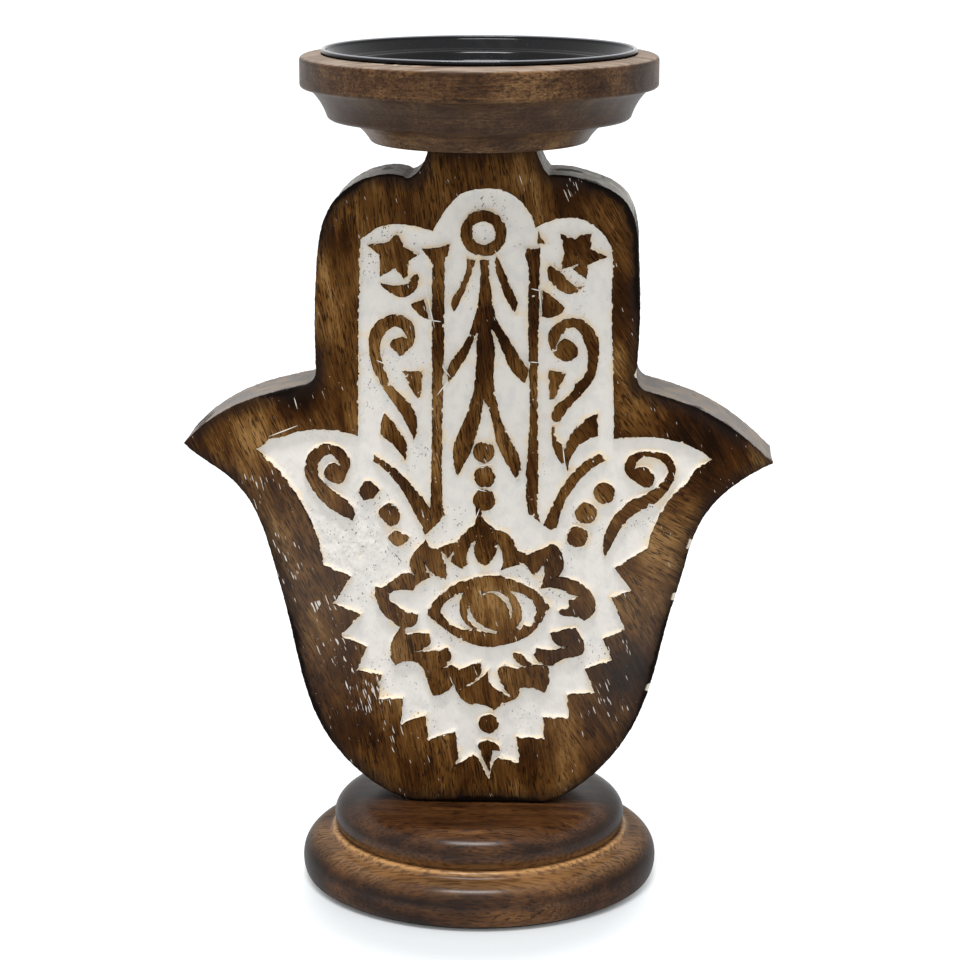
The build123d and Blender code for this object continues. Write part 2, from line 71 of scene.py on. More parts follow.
camera = bpy.data.objects.new("camera", bpy.data.cameras.new("camera"))
camera.data.lens = camera.data.sensor_width * focal_pixels / photo_side
camera.data.shift_x = centre_offset_pixels / photo_side
camera.location = (camera_distance * sin(camera_turn), -camera_distance * cos(camera_turn), camera_height)
camera.rotation_euler = (pi / 2 - camera_pitch, 0, camera_turn)
bpy.context.scene.collection.objects.link(camera)
bpy.context.scene.camera = camera
print("camera lens", round(camera.data.lens, 1), "mm")

# %% [markdown]
# ## Nodes with few words
# A finish is a tree of nodes. Adding nodes one by one takes many lines, so a small helper adds a node, sets
# its options, and feeds each socket either a number or another node's output. Colours are written as the 0
# to 255 values that a colour picker shows and turned into the light values that the renderer mixes.


# %% Node helpers
def colour(red, green, blue):
    """Light values of a picker colour: each share of 255 raised by the sRGB curve."""
    share = np.array([red, green, blue]) / 255
    light = np.where(share < 0.04045, share / 12.92, ((share + 0.055) / 1.055) ** 2.4)
    return (*light.tolist(), 1.0)


open_trees = []


def open_tree(owner):
    """An empty node tree in a material or a world. Nodes go into the tree that was opened last."""
    owner.use_nodes = True
    owner.node_tree.nodes.clear()
    open_trees.append(owner.node_tree)
    return owner


def put(kind, feeds=None, **options):
    """One more node in the open tree, with its options set and its sockets fed."""
    tree = open_trees[-1]
    node = tree.nodes.new("ShaderNode" + kind)
    for option, value in options.items():
        setattr(node, option, value)
    for socket, value in (feeds or {}).items():
        if isinstance(value, bpy.types.NodeSocket):
            tree.links.new(value, node.inputs[socket])
        else:
            node.inputs[socket].default_value = value
    return node


def new_finish(name):
    """An empty material that is open for nodes, and the place of each point on its piece."""
    material = open_tree(bpy.data.materials.new(name))
    return material, put("TexCoord").outputs["Object"]


def calc(operation, *values):
    """One step of arithmetic between sockets and numbers."""
    return put("Math", dict(enumerate(values)), operation=operation).outputs[0]


def times(product, *others):
    """Sockets and numbers multiplied together."""
    for other in others:
        product = calc("MULTIPLY", product, other)
    return product


def scaled(value, scale, shift):
    """A value times a scale, plus a shift."""
    return calc("MULTIPLY_ADD", value, scale, shift)


def axes(vector):
    """The X, Y and Z of a vector, each as a socket."""
    return put("SeparateXYZ", {0: vector}).outputs


def facing_up():
    """1 where the surface faces straight up, 0 where it is upright."""
    return axes(put("NewGeometry").outputs["Normal"])["Z"]


def fade(value, low, high, start=0.0, end=1.0):
    """A value that goes smoothly from start to end while its input goes from low to high."""
    feeds = {"Value": value, "From Min": low, "From Max": high, "To Min": start, "To Max": end}
    return put("MapRange", feeds, interpolation_type="SMOOTHSTEP").outputs["Result"]


def mix(share, first, second):
    """A colour between two, by a share."""
    return put("Mix", {0: share, 6: first, 7: second}, data_type="RGBA").outputs[2]


def stretched(vector, scales):
    """Coordinates multiplied along each axis, so that a texture repeats so many times in a metre."""
    return put("VectorMath", {0: vector, 1: scales}, operation="MULTIPLY").outputs[0]


def noise(vector, scales, detail=3.0, roughness=0.55):
    """Cloudy noise whose grains are stretched by the scales, or by one scale in every direction."""
    scales = scales if isinstance(scales, tuple) else (scales, scales, scales)
    feeds = {"Vector": stretched(vector, scales), "Scale": 1.0, "Detail": detail, "Roughness": roughness}
    return put("TexNoise", feeds).outputs["Fac"]


def ramp(share, *stops):
    """A colour from a row of (place, colour) stops."""
    node = put("ValToRGB", {"Fac": share})
    row = node.color_ramp.elements
    for extra in stops[2:]:
        row.new(extra[0])
    for element, (place, shade) in zip(row, sorted(stops)):
        element.position = place
        element.color = shade
    return node.outputs["Color"]


def close_finish(colour_socket, roughness, bump, bump_depth, specular=0.5, **others):
    """The surface shader at the end of a finish. Numbers that are the same all over go on its own sockets."""
    relief = put("Bump", {"Height": bump, "Distance": bump_depth, "Strength": 1.0})
    feeds = {"Base Color": colour_socket, "Roughness": roughness, "Normal": relief.outputs["Normal"]}
    shader = put("BsdfPrincipled", {**feeds, "Specular IOR Level": specular, **others})
    put("OutputMaterial", {"Surface": shader.outputs["BSDF"]})


# %% [markdown]
# ## Floor and light
# The stand was photographed on white, under a wide soft light from above and in front. The floor is pale
# paper that adds light of its own for the camera and for reflections, more of it farther away, so it fades
# to white all round and keeps the soft shadow at the foot, most of all in front. The world is white for the
# camera and for reflections too, and plain for light.

# %% Floor and light
floor_reach = 6.0
floor_paper = (0.6, 0.625, 0.64, 1)
floor_lift_near = 0.06
floor_lift_far = 0.66
floor_lift_middle = (0, -32 * mm, 0)
floor_lift_start = 42 * mm
floor_lift_end = 80 * mm
sky_light = 0.88
softbox_width = 0.4
softbox_length = 0.18
softbox_place = (-0.05, -0.24, 1.02)
softbox_watts = 7.0


def seen_ray():
    """1 for rays from the camera, a mirror or a glass, and 0 for rays that only carry light."""
    path = put("LightPath").outputs
    mirrored = calc("MAXIMUM", path["Is Glossy Ray"], path["Is Transmission Ray"])
    return calc("MAXIMUM", path["Is Camera Ray"], mirrored)


floor_material, spot = new_finish("floor_white")
paper = put("BsdfDiffuse", {"Color": floor_paper})
away = put("VectorMath", {0: spot, 1: floor_lift_middle}, operation="DISTANCE").outputs["Value"]
glow = fade(away, floor_lift_start, floor_lift_end, floor_lift_near, floor_lift_far)
lift = put("Emission", {"Strength": times(seen_ray(), glow)})
both = put("AddShader", {0: paper.outputs[0], 1: lift.outputs[0]})
put("OutputMaterial", {"Surface": both.outputs[0]})

floor_mesh = bpy.data.meshes.new("floor")
floor_corners = floor_reach * np.array([(-1, -1, 0), (1, -1, 0), (1, 1, 0), (-1, 1, 0)])
floor_mesh.from_pydata(floor_corners.tolist(), [], [(0, 1, 2, 3)])
floor_mesh.materials.append(floor_material)
floor = bpy.data.objects.new("floor", floor_mesh)
bpy.context.scene.collection.objects.link(floor)

world = open_tree(bpy.data.worlds.new("white_room"))
strength = fade(seen_ray(), 0.0, 1.0, sky_light, 1.0)
sky = put("Background", {"Color": (1, 1, 1, 1), "Strength": strength})
put("OutputWorld", {"Surface": sky.outputs[0]})
bpy.context.scene.world = world

softbox = bpy.data.objects.new("softbox", bpy.data.lights.new("softbox", "AREA"))
softbox.data.shape = "RECTANGLE"
softbox.data.size = softbox_width
softbox.data.size_y = softbox_length
softbox.data.energy = softbox_watts
softbox.location = softbox_place
softbox.rotation_euler = (np.arctan2(-softbox_place[1], softbox_place[2]), 0, 0)
bpy.context.scene.collection.objects.link(softbox)
bpy.context.scene.view_settings.view_transform = "Standard"
print("softbox", softbox_watts, "watts")

# %% [markdown]
# ## From arrays to pieces
# Every piece below is two arrays: points, and triangles that name three points each. Points that fall on
# the same spot are welded, so seams and poles close. Each piece keeps its place in its mesh and its object
# at the origin, rides on one body of the frame, and stands for the plain solids that it covers.


# %% Mesh helpers
weld_grid = mm / 10000


def weld(points, triangles, measures):
    """Points on one spot become one. Triangles that lose a corner so, and points left over, are dropped."""
    cells = np.round(points / weld_grid).astype(np.int64)
    _, first, merged = np.unique(cells, axis=0, return_index=True, return_inverse=True)
    triangles = merged.ravel()[triangles]
    flat = (triangles == np.roll(triangles, 1, axis=1)).any(axis=1)
    used, triangles = np.unique(triangles[~flat], return_inverse=True)
    first = first[used]
    return points[first], triangles.reshape(-1, 3), {name: values[first] for name, values in measures.items()}


def add_piece(name, points, triangles, finish, body, slot, replaced, crease=60, **measures):
    """A mesh object from arrays. Measures are kept with the points, for the finish to read."""
    points, triangles, measures = weld(points, triangles, measures)
    mesh = bpy.data.meshes.new(name)
    mesh.from_pydata(points.tolist(), [], triangles.tolist())
    mesh.materials.append(finish)
    for measure, values in measures.items():
        layer = mesh.attributes.new(measure, "FLOAT", "POINT")
        layer.data.foreach_set("value", values.astype(np.float32))
    mesh.polygons.foreach_set("use_smooth", np.ones(len(triangles), bool))
    mesh.set_sharp_from_angle(angle=radians(crease))
    piece = bpy.data.objects.new(name, mesh)
    bpy.context.scene.collection.objects.link(piece)
    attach(piece, body)
    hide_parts(*replaced)
    print(name, len(points), "points", len(triangles), "triangles")
    return piece


def grid_triangles(rows, columns):
    """Two triangles for each cell of a grid whose last column meets its first."""
    row, column = np.meshgrid(np.arange(rows - 1), np.arange(columns), indexing="ij")
    here = row * columns + column
    beside = row * columns + (column + 1) % columns
    lower = np.stack([here, beside, beside + columns], axis=-1)
    upper = np.stack([here, beside + columns, here + columns], axis=-1)
    return np.concatenate([lower.reshape(-1, 3), upper.reshape(-1, 3)])


def wave_field(points, shortest, longest, seed, waves=28):
    """A smooth random field, mostly between -1 and 1: waves of random heading, phase and length, added up."""
    dice = np.random.default_rng(seed)
    length = np.exp(dice.uniform(np.log(shortest), np.log(longest), waves))
    heading = dice.normal(size=(points.shape[1], waves))
    heading *= 2 * pi / length / np.linalg.norm(heading, axis=0)
    return np.sin(points @ heading + dice.uniform(0, 2 * pi, waves)).sum(axis=1) / sqrt(2 * waves)


# %% [markdown]
# ## Outlines read from the frame
# The carved pattern is already in the frame: the flat front of the hand panel has a border wherever the
# carving cuts into it. A border edge belongs to one front triangle only. Each border point has one next
# point, so the borders are closed loops. To put a loop in order without walking it point by point, every
# point jumps 1, 2, 4, 8 ... points ahead, and after a few jumps each one knows how far it lies from its
# loop's first point.


# %% Border loops
touching = mm / 1000


def mesh_arrays(mesh):
    """Points and triangles of a mesh, three numbers in each row."""
    points = np.empty(3 * len(mesh.vertices), np.float32)
    triangles = np.empty(3 * len(mesh.polygons), np.int32)
    mesh.vertices.foreach_get("co", points)
    mesh.polygons.foreach_get("vertices", triangles)
    return points.reshape(-1, 3).astype(float), triangles.reshape(-1, 3)


def border_edges(triangles):
    """Edges, turned as their triangle turns, that no other triangle shares."""
    edges = triangles[:, [[0, 1], [1, 2], [2, 0]]].reshape(-1, 2)
    key = np.array([triangles.max() + 1, 1])
    return edges[~np.isin(edges @ key, edges[:, ::-1] @ key)]


def border_loops(triangles):
    """Point numbers of each closed border, in order, by jumping ahead 1, 2, 4, 8 ... points at once."""
    stops, ends = np.unique(border_edges(triangles), return_inverse=True)
    ends = ends.reshape(-1, 2)
    own = np.arange(len(stops))
    following = own.copy()
    following[ends[:, 0]] = ends[:, 1]
    doublings = int(log2(len(stops))) + 1
    lowest = own.copy()
    jump = following.copy()
    for _ in range(doublings):
        lowest = np.minimum(lowest, lowest[jump])
        jump = jump[jump]
    jump = np.where(lowest == own, own, following)
    steps_left = (jump != own).astype(int)
    for _ in range(doublings):
        steps_left = steps_left + steps_left[jump]
        jump = jump[jump]
    order = np.lexsort((-steps_left, lowest))
    breaks = np.flatnonzero(np.diff(lowest[order])) + 1
    return [stops[loop] for loop in np.split(order, breaks)]


panel_points, panel_triangles, _ = weld(*mesh_arrays(nodes["hand_panel"].data), {})
panel_low, panel_high = (np.array(corner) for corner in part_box("hand_panel"))
flush = panel_points[:, 1] < panel_low[1] + touching
front_triangles = panel_triangles[flush[panel_triangles].all(axis=1)]
drawn_loops = [panel_points[loop][:, [0, 2]] for loop in border_loops(front_triangles)]
spans = [np.ptp(loop[:, 0]) for loop in drawn_loops]
outline = drawn_loops.pop(int(np.argmax(spans)))
print("outline of", len(outline), "points and", len(drawn_loops), "carved edges")

# %% [markdown]
# ## Cut by hand
# A knife doesn't follow a drawn line exactly. Each loop is walked again in even steps that keep its sharp
# corners, and is then pushed in and out a little by a few waves that fit round it a whole number of times.
# The outline is only ever pushed inwards, so that the hand stays as large as it was measured.


# %% Hand-cut loops
edge_step = 0.55 * mm
sharp_turn = radians(28)
wobble_lengths = np.array([1.7, 2.6, 4.1, 6.5, 11]) * mm
wobble_depth = 0.042 * mm
rim_wobble = 0.6
fewest_stops = 12
corner_room = 0.4
nick_share = 0.045
nick_depth = 0.36 * mm


def normals(loop):
    """Directions square to a loop, away from the wood that it borders."""
    along = np.roll(loop, -1, axis=0) - np.roll(loop, 1, axis=0)
    across = np.stack([along[:, 1], -along[:, 0]], axis=1)
    return across / np.linalg.norm(across, axis=1, keepdims=True)


def hand_cut(loop, seed, inwards=False):
    """The loop in even steps, plus its normal times a sum of sines of the way along it and a few nicks."""
    side = np.roll(loop, -1, axis=0) - loop
    way = np.concatenate([[0], np.cumsum(np.hypot(*side.T))])
    heading = np.arctan2(side[:, 1], side[:, 0])
    turn = np.abs((heading - np.roll(heading, 1) + pi) % (2 * pi) - pi)
    corners = way[:-1][turn > sharp_turn]
    stops = np.linspace(0, way[-1], max(fewest_stops, round(way[-1] / edge_step)), endpoint=False)
    room = np.abs(stops[:, None] - np.append(corners, -1)).min(axis=1)
    stops = np.sort(np.concatenate([stops[room > corner_room * edge_step], corners]))
    closed = np.vstack([loop, loop[:1]])
    even = np.stack([np.interp(stops, way, closed[:, axis]) for axis in (0, 1)], axis=1)
    dice = np.random.default_rng(seed)
    turns = np.maximum(1, np.round(way[-1] / wobble_lengths))
    phase = dice.uniform(0, 2 * pi, len(turns))
    wobble = wobble_depth * np.sin(2 * pi * stops[:, None] * turns / way[-1] + phase).sum(axis=1)
    if inwards:
        wobble = rim_wobble * (wobble - wobble.max())
    else:
        nicked = (dice.random(len(stops)) < nick_share) & ~np.isin(stops, corners)
        wobble = wobble + np.where(nicked, dice.uniform(-nick_depth, nick_depth, len(stops)), 0)
    return even + normals(even) * wobble[:, None]


rim_loop = hand_cut(outline, seed=1, inwards=True)
cut_loops = [hand_cut(loop, seed=10 + number) for number, loop in enumerate(drawn_loops)]
print("rim of", len(rim_loop), "points, carved edges of", sum(map(len, cut_loops)), "points")

# %% [markdown]
# ## Carving the front
# The front could be a fine grid pushed in and out, but a grid leaves stairs along slanting cuts. Here the
# points follow the cuts instead: each cut edge gets rows of points beside it, the rest is filled with
# loosely spaced points, and a triangulation that must keep the edges joins them. The depth of a point is a
# function of its distance from the nearest cut, so walls slope, corners round off, and narrow tips run out
# shallow, as they do under a real gouge. A triangle inside an even number of loops lies in a pocket.

# %% Carve the front
rim_round = 0.9 * mm
rim_rows = np.array([0.12, 0.36, 0.7, 1.15]) * mm
cut_round = 0.22 * mm
cut_rows = np.array([-0.4, -0.12, 0.14, 0.42, 0.95]) * mm
fill_step = 1.5 * mm
fill_jitter = 0.2
row_room = 0.86
other_room = 0.3 * mm
batch_size = 500
carving_depth = 2 * mm
wall_run = 0.42 * mm
sanding_depth = 0.05 * mm
sanding_lengths = (18 * mm, 60 * mm)
sanding_drop = 1.6


def gaps(points, edge):
    """Distance from each point to the nearest point of an edge, a batch of points at a time."""
    edge = edge.astype(np.float32)
    nearest = []
    for batch in np.array_split(points.astype(np.float32), max(1, len(points) // batch_size)):
        across = batch[:, :1] - edge[:, 0]
        up = batch[:, 1:] - edge[:, 1]
        nearest.append(np.sqrt((across * across + up * up).min(axis=1)))
    return np.concatenate(nearest).astype(float)


def beside(loops, rows):
    """Points in rows beside the loops, and the distance that each one should keep."""
    offsets = np.concatenate([loop[None] + rows[:, None, None] * normals(loop) for loop in loops], axis=1)
    return offsets.reshape(-1, 2), np.repeat(np.abs(rows), offsets.shape[1])


def filling(low, high, step, seed):
    """Points on a staggered grid, each moved a little at random."""
    across, up = np.meshgrid(np.arange(low[0], high[0], step), np.arange(low[1], high[1], step))
    across = across + np.where(np.arange(len(up)) % 2, step / 2, 0)[:, None]
    points = np.stack([across.ravel(), up.ravel()], axis=1)
    return points + np.random.default_rng(seed).uniform(-fill_jitter, fill_jitter, points.shape) * step


def signed_area(loop):
    """Area inside a loop, positive where it turns anticlockwise."""
    following = np.roll(loop, -1, axis=0)
    return 0.5 * np.sum(loop[:, 0] * following[:, 1] - following[:, 0] * loop[:, 1])


def triangulated(loops, loose):
    """Triangles over loops and loose points, with the loops kept as edges, and how many loops hold each."""
    points = np.concatenate([*loops, loose])
    starts = np.cumsum([0, *map(len, loops)])
    rings = [np.arange(start, start + len(loop)) for start, loop in zip(starts, loops)]
    turned = [ring if signed_area(loop) > 0 else ring[::-1] for ring, loop in zip(rings, loops)]
    found = delaunay_2d_cdt((points / mm).tolist(), [], [ring.tolist() for ring in turned], 1, 1e-5, True)
    flat = np.array([vertex[:] for vertex in found[0]]) * mm
    loops_round = np.array(list(map(len, found[5])))
    return flat, np.array(found[2])[loops_round > 0], loops_round[loops_round > 0]


def rounded_drop(gap, radius):
    """How far a rounded edge has dropped at a distance from it: a quarter circle."""
    left = np.clip(radius - gap, 0, radius)
    return radius - np.sqrt(radius ** 2 - left ** 2)


def wall(gap, run):
    """Share of the full depth at a distance from a cut: steep at first, easing into the floor."""
    return 1 - (1 - np.clip(gap / run, 0, 1)) ** 2


def sanded(points, seed):
    """Shallow hollows left by sanding: a slow wave field, taken down and cut off at the level of the face."""
    return np.minimum(sanding_depth * (wave_field(points, *sanding_lengths, seed) - sanding_drop), 0)


cut_edge = np.concatenate(cut_loops)
rim_side = beside([rim_loop], -rim_rows)
cut_side = beside(cut_loops, cut_rows)
fill = filling(panel_low[[0, 2]], panel_high[[0, 2]], fill_step, seed=3)
loose = np.concatenate([rim_side[0], cut_side[0], fill])
loose_rim_gap = gaps(loose, rim_loop)
loose_cut_gap = gaps(loose, cut_edge)
fill_room = np.full(len(fill), fill_step)
rim_room = np.concatenate([rim_side[1], np.full(len(cut_side[1]), other_room), fill_room])
cut_room = np.concatenate([np.full(len(rim_side[1]), other_room), cut_side[1], fill_room])
clear = (loose_rim_gap > row_room * rim_room) & (loose_cut_gap > row_room * cut_room)
flat, front_faces, loops_round = triangulated([rim_loop, *cut_loops], loose[clear])
in_pocket = loops_round % 2 == 0
print("front of", len(flat), "points;", int(in_pocket.sum()), "of", len(front_faces), "triangles in pockets")

# %% [markdown]
# ## Depth of the front
# On the real panel the gouge leaves a flat floor and steep walls, and sandpaper rounds what is left
# standing. A bevel could round the edges, but it fails where two cuts nearly meet. The distance to the
# nearest cut is known at every point, so the depth is worked out from that.

# %% Depth of the front
rim_gap = gaps(flat, rim_loop)
cut_gap = gaps(flat, cut_edge)
sunk = np.zeros(len(flat), bool)
sunk[front_faces[in_pocket]] = True
sunk &= cut_gap > touching
land = sanded(flat, seed=4) - rounded_drop(rim_gap, rim_round) - rounded_drop(cut_gap, cut_round)
pocket = -cut_round - (carving_depth - cut_round) * wall(cut_gap, wall_run)
front_drop = np.where(sunk, pocket, land)
front_drop[rim_gap < touching] = -rim_round
front_points = np.stack([flat[:, 0], panel_low[1] - front_drop, flat[:, 1]], axis=1)
print("carving from", round(front_drop.max() / mm, 2), "to", round(front_drop.min() / mm, 2), "mm")

# %% [markdown]
# ## Sides and back of the hand
# The sides are the rim loop carried straight back through the board, in rows that sway a little where the
# saw wandered. The back is the same outline filled again, with rounded edges and no carving.

# %% Sides and back
side_rows = 15
back_fill_step = 3.5 * mm
back_fill_room = 0.7 * back_fill_step
saw_sway = 0.12 * mm
saw_sway_lengths = (6 * mm, 30 * mm)
saw_sway_limit = 2
far = 20 * mm

depth_share = np.linspace(0, 1, side_rows)
side_depth = panel_low[1] + rim_round + depth_share * (panel_high[1] - panel_low[1] - 2 * rim_round)
side_flat = np.repeat(rim_loop[None], side_rows, axis=0)
side_level = np.repeat(side_depth[:, None], len(rim_loop), axis=1)
sawn = np.concatenate([side_flat, side_level[..., None]], axis=2).reshape(-1, 3)
sway = wave_field(sawn, *saw_sway_lengths, seed=5).reshape(side_rows, -1)
sway = np.clip(sway, -saw_sway_limit, saw_sway_limit) - saw_sway_limit
sway = saw_sway * sway * np.sin(pi * depth_share)[:, None]
side_flat = side_flat + normals(rim_loop) * sway[:, :, None]
side_points = np.stack([side_flat[..., 0], side_level, side_flat[..., 1]], axis=-1).reshape(-1, 3)
side_faces = grid_triangles(side_rows, len(rim_loop))[:, ::-1]

back_fill = filling(panel_low[[0, 2]], panel_high[[0, 2]], back_fill_step, seed=6)
back_loose = np.concatenate([rim_side[0], back_fill])
back_room = np.concatenate([rim_side[1], np.full(len(back_fill), back_fill_room)])
back_clear = gaps(back_loose, rim_loop) > row_room * back_room
back_flat, back_faces, _ = triangulated([rim_loop], back_loose[back_clear])
back_gap = gaps(back_flat, rim_loop)
back_drop = sanded(back_flat, seed=7) - rounded_drop(back_gap, rim_round)
back_drop[back_gap < touching] = -rim_round
back_points = np.stack([back_flat[:, 0], panel_high[1] + back_drop, back_flat[:, 1]], axis=1)

hand_points = np.concatenate([front_points, side_points, back_points])
hand_faces = np.concatenate([
    front_faces,
    side_faces + len(front_points),
    back_faces[:, ::-1] + len(front_points) + len(side_points),
])
uncut = np.full(len(side_points) + len(back_points), far)
hand_cut_gap = np.concatenate([np.where(sunk, -cut_gap, cut_gap), uncut])
hand_rim_gap = np.concatenate([rim_gap, np.zeros(len(side_points)), back_gap])
hand_side = (hand_rim_gap < touching).astype(float)
print("hand of", len(hand_points), "points")

# %% [markdown]
# ## Stained wood
# The hand is open-pored wood under a dark stain. Fine fibres and longer streaks set the tone, short dark
# pores lie along them, and the stain has soaked in unevenly. All of them are the same cloudy noise,
# stretched along the grain by different amounts. The grain is nearly upright in the middle, leans more at
# both sides, and lies almost flat beside a knot at the right edge. Bending one set of coordinates that far
# would pull the noise into whorls, so the figure is worked out once for each lean and one is faded in over
# the other.

# %% Grain and stain
wood_shades = ((0.1, colour(26, 11, 2)), (0.38, colour(64, 36, 11)), (0.58, colour(104, 69, 31)),
               (0.9, colour(166, 126, 76)))
wood_pore = colour(22, 9, 3)
wood_scorch = colour(14, 8, 5)
grain_leans = [radians(9), radians(25), radians(31), radians(60)]
left_lean_start = -34 * mm
left_lean_end = -56 * mm
left_lean_top = 178 * mm
left_lean_fade = 10 * mm
right_lean_start = 14 * mm
right_lean_end = 44 * mm
knot_across = 68 * mm
knot_up = 120 * mm
knot_reach = 42 * mm
grain_bend = 6 * mm
# how much of the tone comes from fibres, streaks and stain, and what is taken off their sum
tone_shares = (0.5, 0.55, 1.15)
tone_level = 0.59
# across, up and reach of a stained spot in mm, and how far it leans from dark to light
stain_spots = (
    (0, 92, 22, 0.12), (60, 122, 18, 0.25), (-66, 156, 24, 0.24), (72, 158, 30, -0.4), (3, 185, 26, -0.28),
    (40, 236, 30, -0.16), (-58, 164, 11, -0.55), (0, 36, 40, 0.04), (-44, 52, 22, -0.14), (62, 60, 26, -0.1),
    (50, 74, 13, -0.2), (-46, 205, 24, 0.1), (14, 238, 14, 0.12), (56, 190, 22, -0.12), (-16, 170, 18, 0.1),
    (42, 222, 14, 0.18), (46, 197, 12, -0.27), (44, 178, 9, 0.2), (-46, 222, 9, 0.15), (-51, 178, 9, -0.1),
    (-62, 117, 12, 0.2), (-57, 108, 8, 0.15),
)


def near(place, across, up, reach):
    """1 at a spot of the front, fading to 0 at the reach from it, whatever the depth."""
    flat_place = stretched(place, (1, 0, 1))
    gap = put("VectorMath", {0: flat_place, 1: (across, 0, up)}, operation="DISTANCE").outputs["Value"]
    return fade(gap, 0.0, reach, 1.0, 0.0)


def spotted(place, spots):
    """Sum of soft round spots, each given by its place across and up, its reach and its strength."""
    total = 0.0
    for across, up, reach, strength in spots:
        total = scaled(near(place, across * mm, up * mm, reach * mm), strength, total)
    return total


def bent(vector, amount):
    """Coordinates pushed about by slow noise."""
    sway = put("TexNoise", {"Vector": vector, "Scale": 16.0, "Detail": 2.0}).outputs["Color"]
    centred = put("VectorMath", {0: sway, 1: (0.5, 0.5, 0.5)}, operation="SUBTRACT").outputs[0]
    pushed = put("VectorMath", {0: centred, "Scale": amount}, operation="SCALE").outputs[0]
    return put("VectorMath", {0: vector, 1: pushed}, operation="ADD").outputs[0]


def blend(share, below, above):
    """A value between two, by a share."""
    return put("Mix", {0: share, 2: below, 3: above}, data_type="FLOAT").outputs[0]


def in_each_lean(place, texture):
    """A texture in each lean of the hand's grain, faded in at the left, at the right and at the knot."""
    across, _, up = axes(place)
    at_left = fade(across, left_lean_end, left_lean_start, 1.0, 0.0)
    at_left = times(at_left, fade(up, left_lean_top - left_lean_fade, left_lean_top, 1.0, 0.0))
    at_right = fade(across, right_lean_start, right_lean_end)
    at_knot = fade(near(place, knot_across, knot_up, knot_reach), 0.2, 0.7)
    shares = [1.0, at_left, at_right, at_knot]
    layers = None
    for lean, share in zip(grain_leans, shares):
        leaning = put("Mapping", {"Vector": place, "Rotation": (0, lean, 0)}).outputs[0]
        over = texture(bent(leaning, grain_bend))
        layers = [blend(share, *pair) for pair in zip(layers, over)] if layers else over
    return layers


def wood_figure(grain, pore_scales=(2500, 2500, 270)):
    """Fibres, streaks and pores, each stretched along the last axis of the grain."""
    fibre = noise(grain, (1700, 1700, 70), detail=3)
    streak = noise(grain, (300, 300, 18), detail=4)
    return fibre, streak, noise(grain, pore_scales, detail=1)


def wood_tone(figure, grain, shades, lean=0.0, pore_share=0.8):
    """Colour of stained wood and the relief of its surface. Lean makes it darker or lighter in places."""
    fibre, streak, pores = figure
    stain = noise(grain, (60, 60, 34), detail=4)
    tone = lean
    for part, share in zip((fibre, streak, stain), tone_shares):
        tone = scaled(part, share, tone)
    tone = calc("SUBTRACT", tone, tone_level)
    crowd = fade(noise(grain, (130, 130, 40), detail=2), 0.32, 0.54, 0.4, 1.0)
    pores = times(fade(pores, 0.545, 0.62), crowd)
    shade = mix(times(pores, pore_share), ramp(tone, *shades), wood_pore)
    return shade, scaled(pores, -0.8, fibre)


# %% [markdown]
# ## Wear on the hand
# Several things lie over the stain. A soft dark brown runs along the front's outer edge, and the corner
# itself is scorched nearly black, here more and there less. A thin grey film over the lower palm, left and
# right, is a painted sheen. White paint has caught in pores where the brush went past the carving, and laps
# over the cut corners. The tops of the sawn sides are brushed with a grey white that is worn through near
# the front; on the thumbs it is painted darker, as painted shade. The upright sawn sides are darkened most
# of the way to near black.

# %% Wear on the hand
paint_caught = colour(214, 208, 200)
lapped_paint = colour(226, 216, 200)
side_grey = colour(168, 164, 157)
side_pale = colour(208, 204, 197)
# grey paint on the thumb tops, painted darker than on the lobes as painted shade
thumb_shaded_grey = colour(120, 116, 113)
thumb_shaded_warm = colour(142, 129, 116)
thumb_tops = 184 * mm
thumb_fade = 8 * mm
side_wear_start = -13.5 * mm
side_wear_end = -7 * mm
flake_inner = 1.4 * mm
flake_outer = 0.6 * mm
caught_lean = radians(19)
caught_crowding = 0.175
edge_smoke = colour(30, 24, 22)
edge_sway = 4.6 * mm
smoke_shift = -2.3 * mm
smoke_reach = 6 * mm
scorch_shift = -2.5 * mm
scorch_width = 2.4 * mm
scorch_narrowing = -0.35 * mm
lap_sway = 2.6 * mm
lap_shift = -1.28 * mm
# across, up and reach of the stretch of edge that stayed clean
clean_edge = (-51 * mm, 196 * mm, 24 * mm)
# grey of the painted sheen on the lower palm
painted_sheen_film = colour(100, 98, 96)
# across, up and reach in mm of the places where a grey film of painted sheen lies, and how much of it
painted_sheen_spots = ((-58, 100, 62, 0.26), (56, 84, 62, 0.26))
# across, up and reach in mm of the places where paint caught in the pores, and how much of it
caught_spots = (
    (-50, 93, 8, 1.0), (-46, 80, 11, 0.9), (-37, 64, 13, 1.0), (-28, 50, 8, 0.8), (-69, 134, 12, 0.7),
    (-62, 112, 10, 0.8), (-60, 104, 9, 0.7), (-58, 162, 9, 0.45), (30, 231, 8, 1.0),
    (-32, 226, 7, 0.3), (50, 80, 9, 0.6), (43, 64, 12, 0.7), (-54, 190, 8, 0.3), (56, 200, 8, 0.3),
)
# the same for the chips of paint left on the right corner, and for the places where the corner is scorched
chip_spots = ((68.4, 116.7, 3.4, 1.0), (63.9, 99.0, 3.0, 1.0), (56.2, 68.1, 3.0, 1.0), (52.6, 172, 4.5, 1.0))
scorch_spots = ((60, 215, 42, 1.0), (-44, 233, 24, 0.9), (66, 70, 48, 0.8), (-62, 66, 44, 0.9),
                (-62, 164, 12, 1.0), (45, 236, 22, 0.6), (0, 28, 50, 0.8), (80, 158, 20, 0.5))


def measure(name):
    """A measure that was kept with the points."""
    return put("Attribute", attribute_name=name).outputs["Fac"]


def on_front(place):
    """1 on the front of the panel, 0 on its back."""
    return fade(axes(place)["Y"], -10 * mm, 0.0, 1.0, 0.0)


